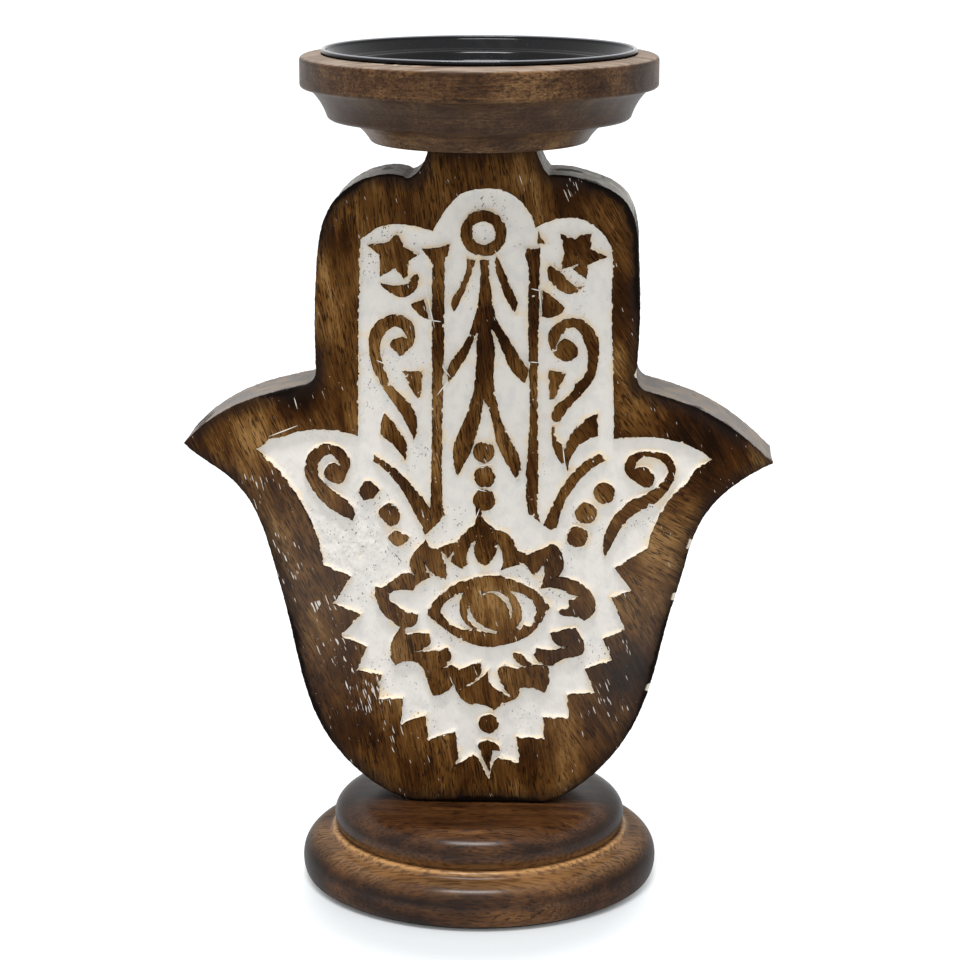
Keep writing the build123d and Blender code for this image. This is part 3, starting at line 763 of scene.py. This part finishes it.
def with_caught_paint(shade, place):
    """White in some pores, in the chosen spots and in a few specks elsewhere."""
    leaning = put("Mapping", {"Vector": place, "Rotation": (0, caught_lean, 0)}).outputs[0]
    dashes = noise(bent(leaning, grain_bend), (1700, 1700, 200), detail=1)
    specks = fade(noise(place, (2300, 2300, 1500), detail=0.5), 0.765, 0.8)
    crowd = times(spotted(place, caught_spots), on_front(place))
    share = fade(scaled(crowd, caught_crowding, dashes), 0.75, 0.79)
    drift = fade(noise(place, 40, detail=2), 0.5, 0.62)
    share = calc("MAXIMUM", share, times(specks, drift))
    return mix(share, shade, paint_caught)


def ragged_gap(place, shift):
    """Distance from the front's outer edge, pushed about by noise and shifted."""
    sway = scaled(noise(place, 130, detail=4), edge_sway, shift)
    return calc("ADD", measure("rim_gap"), sway)


def with_smoked_edge(shade, place):
    """A ragged dark brown along the front's outer edge, and a grey film of painted sheen on the lower palm.
    """
    # painted sheen: a grey film over the lower palm
    sheen_film = times(spotted(place, painted_sheen_spots), on_front(place))
    shade = mix(sheen_film, shade, painted_sheen_film)
    smoked = fade(ragged_gap(place, smoke_shift), 0.0, smoke_reach, 0.8, 0.0)
    unclean = calc("SUBTRACT", 1.0, near(place, *clean_edge))
    level = fade(measure("side"), 0.0, 0.6, 1.0, 0.0)
    return mix(times(smoked, unclean, level, on_front(place)), shade, edge_smoke)


def with_scorched_corner(shade, place):
    """Black along the outer corner, ragged and widest in chosen spots, and a thin dark line at each cut."""
    width = scaled(spotted(place, scorch_spots), scorch_width, scorch_narrowing)
    left = calc("SUBTRACT", ragged_gap(place, scorch_shift), width)
    shade = mix(fade(left, -0.6 * mm, 0.9 * mm, 0.93, 0.0), shade, wood_scorch)
    cut_line = fade(measure("cut_gap"), 0.05 * mm, 0.42 * mm, 0.7, 0.0)
    return mix(cut_line, shade, wood_scorch)


def with_lapped_paint(shade, place):
    """Paint from the carving that laps over the cut corners by up to half a millimetre."""
    reach = scaled(noise(place, 420, detail=3), lap_sway, lap_shift)
    left = calc("SUBTRACT", reach, measure("cut_gap"))
    return mix(fade(left, 0.0, 0.14 * mm), shade, lapped_paint)


def with_painted_sides(shade, place):
    """Grey white on the sides that face up, worn off in patches, and chips and flakes on the upright ones."""
    _, depth, up = axes(place)
    at_front = fade(depth, side_wear_start, side_wear_end, 1.0, 0.0)
    wear = scaled(at_front, -0.1, noise(place, 75, detail=5))
    cover = times(fade(wear, 0.34, 0.43), fade(facing_up(), 0.12, 0.5))
    crumbs = noise(place, 420, detail=3)
    flakes = fade(scaled(crumbs, 0.9, spotted(place, chip_spots)), 0.95, 1.0)
    chips = calc("MAXIMUM", flakes, fade(noise(place, (120, 120, 90), detail=4), 0.63, 0.66))
    cover = calc("MAXIMUM", cover, times(chips, at_front))
    patches = fade(noise(place, 160, detail=4), 0.38, 0.66)
    lobe_paint = mix(patches, side_grey, side_pale)
    # painted shade: the thumb tops are painted darker than the lobes
    thumb_paint_and_shade = mix(patches, thumb_shaded_grey, thumb_shaded_warm)
    paint = mix(fade(up, thumb_tops - thumb_fade, thumb_tops + thumb_fade), thumb_paint_and_shade, lobe_paint)
    dark = mix(times(fade(measure("side"), 0.5, 1.0), 0.72), shade, wood_scorch)
    painted = mix(times(cover, fade(measure("side"), 0.55, 0.95)), dark, paint)
    at_edge = fade(measure("rim_gap"), flake_outer, flake_inner, 1.0, 0.0)
    return mix(times(flakes, at_edge, on_front(place)), painted, lapped_paint)


def hand_wood_finish():
    """Stained panel with its wear, in the order in which it happened."""
    material, place = new_finish("hand_wood")
    figure = in_each_lean(place, wood_figure)
    stained = times(spotted(place, stain_spots), on_front(place))
    shade, relief = wood_tone(figure, place, wood_shades, stained)
    worn_edges = (with_smoked_edge, with_caught_paint, with_scorched_corner)
    for with_layer in (*worn_edges, with_painted_sides, with_lapped_paint):
        shade = with_layer(shade, place)
    close_finish(shade, roughness=0.5, bump=relief, bump_depth=0.1 * mm, specular=0.035)
    return material


add_piece("carved_hand", hand_points, hand_faces, hand_wood_finish(), "stand", "hand_wood",
          ["hand_panel"], crease=50, rim_gap=hand_rim_gap, cut_gap=hand_cut_gap, side=hand_side)

# %% [markdown]
# ## Whitewash
# White paint fills the floor of the carving and climbs the walls. It is a skin of its own: the pocket
# triangles again, laid a little above the wood, with an underside a coat's thickness below and a band that
# closes the two along every border. Its height starts just under each corner, at a level that varies along
# the cut, and runs down to the floor, which keeps shallow gouge marks.

# %% Whitewash
coat_thickness = 0.45 * mm
coat_floor = 1.55 * mm
coat_run = 0.75 * mm
coat_edge = 0.42 * mm
coat_edge_sway = 0.3 * mm
coat_edge_lengths = (3 * mm, 14 * mm)
gouge_depth = 0.14 * mm
gouge_lengths = (1.8 * mm, 6 * mm)
gouge_fade = 2 * mm
gouged_spot = np.array([-40, 116]) * mm
gouged_reach = 18 * mm
gouged_more = 2.4


def closed_skin(points, triangles, thickness):
    """The triangles, a second copy of them pushed back by the thickness, and a band along their borders."""
    used, inner = np.unique(triangles, return_inverse=True)
    inner = inner.reshape(-1, 3)
    top = points[used]
    under = top + np.array([0, thickness, 0])
    start, end = border_edges(inner).T
    band = np.concatenate([
        np.stack([start, start + len(used), end], axis=1),
        np.stack([end, start + len(used), end + len(used)], axis=1),
    ])
    return np.concatenate([top, under]), np.concatenate([inner, inner[:, ::-1] + len(used), band]), used


edge_level = coat_edge + coat_edge_sway * np.clip(wave_field(flat, *coat_edge_lengths, seed=8), -1, 1)
gouged = 1 + gouged_more * np.exp(-((flat - gouged_spot) ** 2).sum(axis=1) / gouged_reach ** 2)
gouges = gouge_depth * gouged * wave_field(flat * (1.0, 0.6), *gouge_lengths, seed=9)
gouges *= wall(cut_gap - coat_run, gouge_fade)
coat_drop = -edge_level - (coat_floor - edge_level) * wall(cut_gap, coat_run) + gouges
coat_points = np.stack([flat[:, 0], panel_low[1] - coat_drop, flat[:, 1]], axis=1)
coat_points, coat_faces, coat_used = closed_skin(coat_points, front_faces[in_pocket], coat_thickness)
coat_gap = np.tile(cut_gap[coat_used], 2)
print("coat of", len(coat_points), "points")

# %% [markdown]
# ## Knife cuts
# Here and there the knife ran on past a corner and the brush filled the slit. Each slit is a thin box of
# paint let into the front: its width is a half sine of the way along it, so both ends run out to nothing.

# %% Knife cuts
slit_width = 0.34 * mm
slit_depth = 0.5 * mm
slit_cut_gap = 0.6 * mm
# start and end of each slit, across and up in mm
knife_slits = mm * np.array([
    ((19.5, 200.6), (20.6, 191.8)), ((17.2, 199.4), (20.3, 198.7)), ((-16.6, 200.0), (-13.4, 186.4)),
    ((-14.6, 188.9), (-11.3, 188.5)), ((-32.3, 175.9), (-28.9, 174.5)), ((-12.9, 164.4), (-9.2, 169.4)),
    ((-11.4, 174.4), (-8.4, 170.5)), ((16.8, 175.8), (19.8, 175.6)), ((-1.4, 141.3), (6.2, 142.5)),
    ((-0.9, 134.2), (3.1, 133.2)), ((0.9, 127.6), (-0.6, 123.6)), ((23.8, 155.2), (26.6, 156.6)),
    ((27.5, 148.9), (28.4, 141.2)), ((28.9, 139.5), (31.9, 140.4)), ((-67.2, 150.4), (-57.4, 154.3)),
    ((-4.4, 211.2), (-3.2, 207.4)), ((5.6, 211.6), (7.6, 208.6)), ((13.4, 213.2), (15.8, 211.0)),
])


def slits_of_paint(slits, width, depth, steps=14):
    """A box section carried along each slit. Its half width is a half sine of the share of the way."""
    share = np.linspace(0, 1, steps)
    along = slits[:, 1] - slits[:, 0]
    middle = slits[:, :1] + share[:, None] * along[:, None]
    across = np.stack([-along[:, 1], along[:, 0]], axis=1) / np.hypot(*along.T)[:, None]
    half = (0.5 * width * np.sin(pi * share) ** 0.7)[:, None] * across[:, None]
    corners = np.stack([middle + half, middle - half, middle - half, middle + half], axis=2)
    level = np.broadcast_to(panel_low[1] + depth * np.array([0, 0, 1, 1]), corners.shape[:3])
    points = np.stack([corners[..., 0], level, corners[..., 1]], axis=-1).reshape(-1, 3)
    starts = np.arange(len(slits)) * steps * 4
    return points, (grid_triangles(steps, 4) + starts[:, None, None]).reshape(-1, 3)


slit_points, slit_faces = slits_of_paint(knife_slits, slit_width, slit_depth)
coat_faces = np.concatenate([coat_faces, slit_faces + len(coat_points)])
coat_points = np.concatenate([coat_points, slit_points])
coat_gap = np.concatenate([coat_gap, np.full(len(slit_points), slit_cut_gap)])
print(len(knife_slits), "slits of", len(slit_points), "points")

# %% [markdown]
# ## Brushed limewash
# The paint is matt and nearly white, creamier where it lies thick along the cuts, and wood shows through it
# as dark specks where it lies thin. A painted picture would not follow the cuts, so each tint is noise that
# is led by the distance from the nearest cut.

# %% Whitewash finish
wash_white = colour(235, 230, 223)
wash_grey = colour(226, 222, 217)
wash_cream = colour(240, 221, 190)
wash_speck = colour(84, 66, 52)
cream_sway = 7.0 * mm
cream_shift = -3.0 * mm
cream_reach = 1.5 * mm


def whitewash_finish():
    """Brushed limewash: cream along the cuts and on walls that face up, with dark specks of bare wood."""
    material, place = new_finish("whitewash")
    cut = measure("cut_gap")
    tint = fade(noise(place, (300, 300, 260), detail=4), 0.42, 0.68)
    shade = mix(tint, wash_white, wash_grey)
    ragged = scaled(noise(place, 150, detail=4), cream_sway, cream_shift)
    edge = fade(calc("ADD", cut, ragged), 0.0, cream_reach, 0.75, 0.0)
    ledge = fade(noise(place, 90, detail=3), 0.4, 0.6, 0.2, 0.85)
    edge = calc("MAXIMUM", edge, times(fade(facing_up(), 0.15, 0.6), ledge))
    shade = mix(edge, shade, wash_cream)
    gouged = near(place, *gouged_spot, gouged_reach)
    thin = fade(noise(place, 55, detail=2), 0.47, 0.62)
    thin = calc("MAXIMUM", thin, gouged)
    specks = fade(noise(place, (1400, 1400, 1100), detail=1), 0.665, 0.72)
    shade = mix(times(specks, thin, 0.8), shade, wash_speck)
    scoops = noise(place, (560, 560, 380), detail=1)
    brushed = noise(place, (1300, 1300, 500), detail=3)
    relief = scaled(scoops, scaled(gouged, 3.0, 0.7), brushed)
    close_finish(shade, roughness=0.85, bump=relief, bump_depth=0.22 * mm, specular=0.15)
    return material


add_piece("whitewash", coat_points, coat_faces, whitewash_finish(), "stand", "whitewash",
          ["whitewash_coat"], crease=55, cut_gap=coat_gap)

# %% [markdown]
# ## Turned pieces
# The foot, the dish and the candle plate are round. Their sections are read from the frame: a copy of the
# solid is cut in half, and the border of the half is its section. The section is walked in even steps, its
# corners are eased as sandpaper eases them, and it is carried round the axis. The radius breathes by a few
# hundredths of a millimetre, because wood moves after it is turned and the tool leaves rings.


# %% Turned sections
crown_depth = 1.5 * mm
crown_start = -0.4 * mm
crown_full = 0.6 * mm
warp_lengths = (25 * mm, 90 * mm)
warp_limit = 2.5
tool_ring_lengths = (0.9 * mm, 3 * mm)
tool_ring_share = 0.5
still_radius = 10 * mm


def half_section(name):
    """Radius and height along one side of a solid's section through X = 0, from its underside to its top."""
    solid = bmesh.new()
    solid.from_mesh(nodes[name].data)
    bmesh.ops.remove_doubles(solid, verts=solid.verts, dist=touching)
    everything = solid.verts[:] + solid.edges[:] + solid.faces[:]
    bmesh.ops.bisect_plane(solid, geom=everything, plane_co=(0, 0, 0), plane_no=(1, 0, 0), clear_outer=True)
    bmesh.ops.triangulate(solid, faces=solid.faces[:])
    half = bpy.data.meshes.new("half")
    solid.to_mesh(half)
    solid.free()
    points, triangles = mesh_arrays(half)
    bpy.data.meshes.remove(half)
    ring = points[max(border_loops(triangles), key=len)][:, 1:]
    right = ring[:, 0] > 10 * touching
    first = np.flatnonzero(right & ~np.roll(right, 1))[0]
    side = np.roll(ring, -first, axis=0)[:right.sum()]
    side = side if side[0, 1] < side[-1, 1] else side[::-1]
    return np.vstack([[0, side[0, 1]], side, [0, side[-1, 1]]])


def eased(section, step, softness):
    """The section in even steps, averaged with its neighbours under a bell curve, with its ends held."""
    way = np.concatenate([[0], np.cumsum(np.hypot(*np.diff(section, axis=0).T))])
    stops = np.linspace(0, way[-1], round(way[-1] / step) + 1)
    even = np.stack([np.interp(stops, way, section[:, axis]) for axis in (0, 1)], axis=1)
    reach = int(3 * softness / step) + 1
    bell = np.exp(-0.5 * (np.arange(-reach, reach + 1) * step / softness) ** 2)
    bell /= bell.sum()
    longer = np.pad(even, ((reach, reach), (0, 0)), mode="reflect", reflect_type="odd")
    return np.stack([np.convolve(longer[:, axis], bell, mode="valid") for axis in (0, 1)], axis=1)


def crowned(section, inner, outer, rise):
    """The section with its top between two radii raised by a share that falls from inside to outside."""
    radius, height = section.T
    level = np.interp(height, [height.max() - crown_depth, height.max()], [0, 1])
    share = np.interp(radius, [inner + crown_start, inner + crown_full, outer], [0, 1, 0])
    return np.stack([radius, height + rise * share * level], axis=1)


def turned(section, seed, sides=224, breath=0.02 * mm):
    """Radius times cosine and sine of the angle at each height, less a little that varies round and along."""
    angle = np.linspace(0, 2 * pi, sides, endpoint=False)
    radius = np.repeat(section[:, :1], sides, axis=1)
    height = np.repeat(section[:, 1:], sides, axis=1)
    spots = np.stack([radius * np.cos(angle), radius * np.sin(angle), height], axis=-1)
    slow = wave_field(spots.reshape(-1, 3), *warp_lengths, seed).reshape(radius.shape)
    rings = wave_field(section, *tool_ring_lengths, seed + 1)[:, None]
    moved = np.clip(slow + tool_ring_share * rings, -warp_limit, warp_limit) - warp_limit
    shrink = breath * moved * np.clip(radius / still_radius, 0, 1)
    spots[..., :2] *= (1 + np.divide(shrink, radius, out=np.zeros_like(shrink), where=radius > mm))[..., None]
    return spots.reshape(-1, 3), grid_triangles(len(section), sides)


foot_section = eased(half_section("turned_base"), step=0.6 * mm, softness=0.35 * mm)
dish_section = eased(half_section("candle_dish"), step=0.6 * mm, softness=0.3 * mm)
dish_section = crowned(dish_section, inner=49.5 * mm, outer=56.9 * mm, rise=0.8 * mm)
plate_section = eased(half_section("candle_pan"), step=0.4 * mm, softness=0.12 * mm)
print("sections of", len(foot_section), len(dish_section), "and", len(plate_section), "points")

# %% [markdown]
# ## Varnished foot
# The foot is turned from a flat board, so its grain runs sideways: long streaks on the flat top and the
# front, end grain at the left and right. The ends are darker: end grain takes more stain, and painted shade
# stands in for the sides turned from the light. A satin varnish lies over it, but the ends drink it in and
# stay matt. At the ring between the two swells the stain was cut away, and the bare wood shows as a golden
# line that fades into the brown on both sides. Each swell has a dark band painted just above its widest
# line, a painted shade and dark reflection.

# %% Varnished foot
foot_shades = ((0.1, colour(20, 9, 3)), (0.4, colour(49, 27, 12)), (0.62, colour(81, 50, 25)),
               (0.9, colour(128, 88, 50)))
# colour of the painted shade and dark reflection on both swells
foot_band_shade = colour(24, 11, 5)
ring_gold = colour(144, 105, 66)
bare_gold = colour(182, 137, 86)
ring_height = 16.0 * mm
ring_radius = 48.8 * mm
bare_reach = 1.3 * mm
glow_below = 6.2 * mm
glow_above = 4.6 * mm
end_grain_start = 26 * mm
end_grain_full = 56 * mm
# darker ends: end grain takes more stain, and painted shade stands in for the sides turned from the light
end_grain_and_shade_lean = -0.27
shade_band_levels = np.array([8.8, 22.2]) * mm
shade_band_reach = 2.9 * mm


def around_ring(place, radius, height, reach):
    """1 on the ring's own circle, fading to 0 at the reach from it."""
    across, depth, up = axes(place)
    out = scaled(depth, depth, times(across, across))
    out = calc("SUBTRACT", calc("SQRT", out), radius)
    up = calc("SUBTRACT", up, height)
    gap = calc("SQRT", scaled(out, out, times(up, up)))
    return fade(gap, 0.0, reach, 1.0, 0.0)


def height_band(up, level, below, above):
    """1 at a level, fading to 0 at a distance below it and at another above it."""
    rising = fade(up, level - below, level)
    return times(rising, fade(up, level, level + above, 1.0, 0.0))


def to_ends(place, middle, end):
    """A value that goes from the middle of a board to its ends, where the grain is cut across."""
    out = calc("ABSOLUTE", axes(place)["X"])
    return fade(out, end_grain_start, end_grain_full, middle, end)


def sideways_grain(place):
    """Coordinates turned so that their last axis lies along X, where a flat board's grain runs."""
    across, depth, up = axes(place)
    return bent(put("CombineXYZ", {0: up, 1: depth, 2: across}).outputs[0], grain_bend)


def foot_wood_finish():
    """Varnished turned wood with its grain along X, a golden ring, and painted shade in a dark band on each
    swell.
    """
    material, place = new_finish("foot_wood")
    up = axes(place)["Z"]
    grain = sideways_grain(place)
    figure = wood_figure(grain, (1500, 1500, 280))
    # darker towards the ends: end grain's stain and painted shade
    lean = to_ends(place, 0.0, end_grain_and_shade_lean)
    shade, relief = wood_tone(figure, grain, foot_shades, lean, pore_share=0.7)
    clouds = noise(place, (38, 38, 60), detail=3)
    # painted shade and dark reflection: a dark band on each swell
    shade_bands = [height_band(up, level, shade_band_reach, shade_band_reach) for level in shade_band_levels]
    dark = calc("MAXIMUM", *shade_bands)
    shade = mix(times(dark, fade(clouds, 0.35, 0.65, 0.95, 0.4)), shade, foot_band_shade)
    glow = height_band(up, ring_height, glow_below, glow_above)
    glow = times(glow, fade(clouds, 0.4, 0.62, 0.5, 0.95))
    dashes = fade(noise(grain, (1100, 1100, 160), detail=2), 0.46, 0.6, 1.0, 0.35)
    shade = mix(times(glow, dashes), shade, ring_gold)
    bare = times(around_ring(place, ring_radius, ring_height, bare_reach), dashes)
    shade = mix(bare, shade, bare_gold)
    varnish = {"Coat Weight": to_ends(place, 0.46, 0.06), "Coat Roughness": 0.22, "Coat IOR": 1.4}
    close_finish(shade, roughness=0.45, bump=relief, bump_depth=0.03 * mm, specular=0.05, **varnish)
    return material


foot_points, foot_faces = turned(foot_section, seed=20)
add_piece("turned_foot", foot_points, foot_faces, foot_wood_finish(), "stand", "base_wood", ["turned_base"])

# %% [markdown]
# ## Candle dish
# The dish is turned the same way, in three steps, and is rubbed with stain instead of varnish, so it looks
# drier and more mottled than the foot. Its top is painted paler in streaks along the grain, a painted sheen
# of the light that grazes it, and is a little rougher. Its hollow sides are painted darker, as painted shade.
# Under the plate two screw heads lie in seats cut into the floor of the recess. The rows of points are set
# closer there, and the points over each screw drop to its seat.

# %% Candle dish
dish_shades = ((0.1, colour(30, 17, 9)), (0.4, colour(68, 44, 25)), (0.62, colour(98, 70, 44)),
               (0.9, colour(142, 108, 72)))
# painted shade in the dish's hollow sides
hollow_shade_brown = colour(50, 35, 26)
# pale colour of the dish's top: a painted sheen of the light that grazes it
painted_sheen_top = colour(150, 134, 120)
raw_splinter = colour(216, 192, 172)
dish_edges = np.array([251.8, 261.8]) * mm
hollow_shade_start = 1.0 * mm
hollow_shade_end = 0.8 * mm
step_shade_start = 3 * mm
step_shade_end = 0.5 * mm
sheen_start = 270 * mm
sheen_full = 271 * mm
# radius, height and reach of the ring that tore, then across, up and reach of the torn stretch, and its depth
torn_ring = (50.0 * mm, 272.0 * mm, 2.0 * mm)
torn_spot = (-22 * mm, 271.5 * mm, 13 * mm)
torn_front = -30 * mm
torn_back = -20 * mm
seat_inner = 3.6 * mm
seat_outer = 13.4 * mm
seat_room = 0.1 * mm
seat_depth = 2.0 * mm
seat_row_step = 0.2 * mm


def dish_wood_finish():
    """Mottled turned wood, painted shade in its hollows, painted sheen on top, raw splinters where it tore in
    front.
    """
    material, place = new_finish("dish_wood")
    _, depth, up = axes(place)
    grain = sideways_grain(place)
    lines = scaled(noise(place, (3, 3, 1100), detail=3), 0.35, -0.62)
    mottle = scaled(noise(place, (95, 95, 120), detail=5), 0.5, lines)
    mottle = scaled(noise(place, 1300, detail=2), 0.5, mottle)
    # darker towards the ends: end grain's stain and painted shade
    mottle = calc("ADD", mottle, to_ends(place, 0.0, end_grain_and_shade_lean))
    figure = wood_figure(grain, (1500, 1500, 420))
    shade, relief = wood_tone(figure, grain, dish_shades, mottle, pore_share=0.6)
    # painted shade: the hollow sides are darker, less so over the lowest step
    hollow_shade = fade(up, dish_edges[1] - hollow_shade_start, dish_edges[1] + hollow_shade_end, 0.55, 0.0)
    step_shade = fade(up, dish_edges[0] - step_shade_start, dish_edges[0] + step_shade_end, 0.45, 1.0)
    shade = mix(times(hollow_shade, step_shade), shade, hollow_shade_brown)
    sheen_streaks = fade(noise(grain, (700, 700, 60), detail=4), 0.36, 0.62, 0.3, 0.85)
    # painted sheen on the top, where it faces up
    sheen_share = times(fade(facing_up(), 0.55, 0.9), fade(up, sheen_start, sheen_full))
    shade = mix(times(sheen_share, sheen_streaks), shade, painted_sheen_top)
    torn = fade(noise(place, 420, detail=3), 0.52, 0.57)
    torn = times(torn, around_ring(place, *torn_ring), near(place, *torn_spot))
    torn = times(torn, fade(depth, torn_front, torn_back, 1.0, 0.0))
    shade = mix(torn, shade, raw_splinter)
    rough = fade(sheen_share, 0.0, 1.0, 0.42, 0.55)
    close_finish(shade, rough, relief, bump_depth=0.05 * mm, specular=0.13)
    return material


def with_close_rows(section, inner, outer, step):
    """The section with rows a small step apart between two radii, on the flat after its highest point."""
    radius, height = section.T
    swapped = (radius > inner) & (radius < outer) & (np.arange(len(section)) > height.argmax())
    first = np.flatnonzero(swapped)[0]
    radii = np.arange(outer, inner, -step)
    rows = np.stack([radii, np.full(len(radii), height[first])], axis=1)
    return np.concatenate([section[:first], rows, section[first + swapped.sum():]])


def with_screw_seat(points, screw):
    """Points over a screw's head drop to its seat: to the head's top, then down a cone of 45 degrees."""
    low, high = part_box(screw)
    head = (high.y - low.y) / 2 + seat_room
    gap = np.hypot(points[:, 0] - (low.x + high.x) / 2, points[:, 1] - (low.y + high.y) / 2)
    seat = high.z - np.clip(head - gap, 0, seat_depth)
    over = (gap < head) & (points[:, 2] > high.z)
    return np.column_stack([points[:, :2], np.where(over, seat, points[:, 2])])


dish_section = with_close_rows(dish_section, seat_inner, seat_outer, seat_row_step)
dish_points, dish_faces = turned(dish_section, seed=22)
for screw in ("dish_screw_left", "dish_screw_right"):
    dish_points = with_screw_seat(dish_points, screw)
add_piece("turned_dish", dish_points, dish_faces, dish_wood_finish(), "stand", "dish_wood", ["candle_dish"])

# %% [markdown]
# ## Candle plate
# The plate is pressed sheet under gloss black enamel. It lies loose in the dish and lifts out, so it rides
# on its own body. Enamel flows before it sets, so its surface is very slightly uneven and its reflections
# waver. A grey line along the top of the rolled rim is a painted highlight.

# %% Candle plate
enamel_black = colour(14, 14, 16)
enamel_dust = colour(120, 120, 122)
# painted highlight: a grey line along the top of the rim
rim_painted_highlight = colour(134, 136, 140)
plate_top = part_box("candle_pan")[1].z
rim_highlight_start = plate_top - 0.5 * mm
rim_highlight_full = plate_top - 0.1 * mm


def enamel_finish():
    """Gloss black with a faint flow in its surface, a little dust and a painted highlight along the rim."""
    material, place = new_finish("black_enamel")
    flow = noise(place, 160, detail=2)
    dust = fade(noise(place, 2600, detail=1), 0.7, 0.78)
    shade = mix(times(dust, 0.25), enamel_black, enamel_dust)
    up = axes(place)["Z"]
    # painted highlight along the top of the rolled rim
    shade = mix(fade(up, rim_highlight_start, rim_highlight_full, 0.0, 0.8), shade, rim_painted_highlight)
    rough = fade(flow, 0.3, 0.7, 0.08, 0.16)
    close_finish(shade, rough, flow, bump_depth=0.05 * mm, specular=0.18)
    return material


plate_points, plate_faces = turned(plate_section, seed=24, sides=240, breath=0.004 * mm)
add_piece("candle_plate", plate_points, plate_faces, enamel_finish(), "pan", "black_enamel", ["candle_pan"])

# %% [markdown]
# ## Felt and screws
# A thin felt disc under the foot hides two screws, and two more join the dish to the hand under the plate.
# The felt's edge is eased and its surface is fibrous. The screws keep their measured shape and get a zinc
# finish.

# %% Felt and screws
felt_section = eased(half_section("base_pad"), step=0.4 * mm, softness=0.2 * mm)


def felt_finish():
    """Black felt: soft fibres in every direction."""
    material, place = new_finish("felt")
    fibres = noise(place, 1800, detail=4, roughness=0.7)
    shade = ramp(fibres, (0.3, colour(18, 16, 15)), (0.7, colour(52, 48, 46)))
    close_finish(shade, roughness=0.95, bump=fibres, bump_depth=0.2 * mm, **{"Sheen Weight": 0.3})
    return material


def zinc_finish():
    """Bright zinc plate with a faint bluish bloom."""
    material, place = new_finish("zinc")
    bloom = noise(place, 700, detail=3)
    shade = ramp(bloom, (0.3, colour(150, 152, 155)), (0.7, colour(190, 188, 180)))
    close_finish(shade, fade(bloom, 0.3, 0.7, 0.25, 0.45), bloom, bump_depth=0.02 * mm, Metallic=1.0)
    return material


felt_points, felt_faces = turned(felt_section, seed=26, sides=128, breath=0.01 * mm)
felt_piece = add_piece("felt_disc", felt_points, felt_faces, felt_finish(), "stand", "felt", ["base_pad"])
zinc = zinc_finish()
screws = [node for name, node in nodes.items() if "screw" in name]
for screw in screws:
    screw.material_slots[0].material = zinc
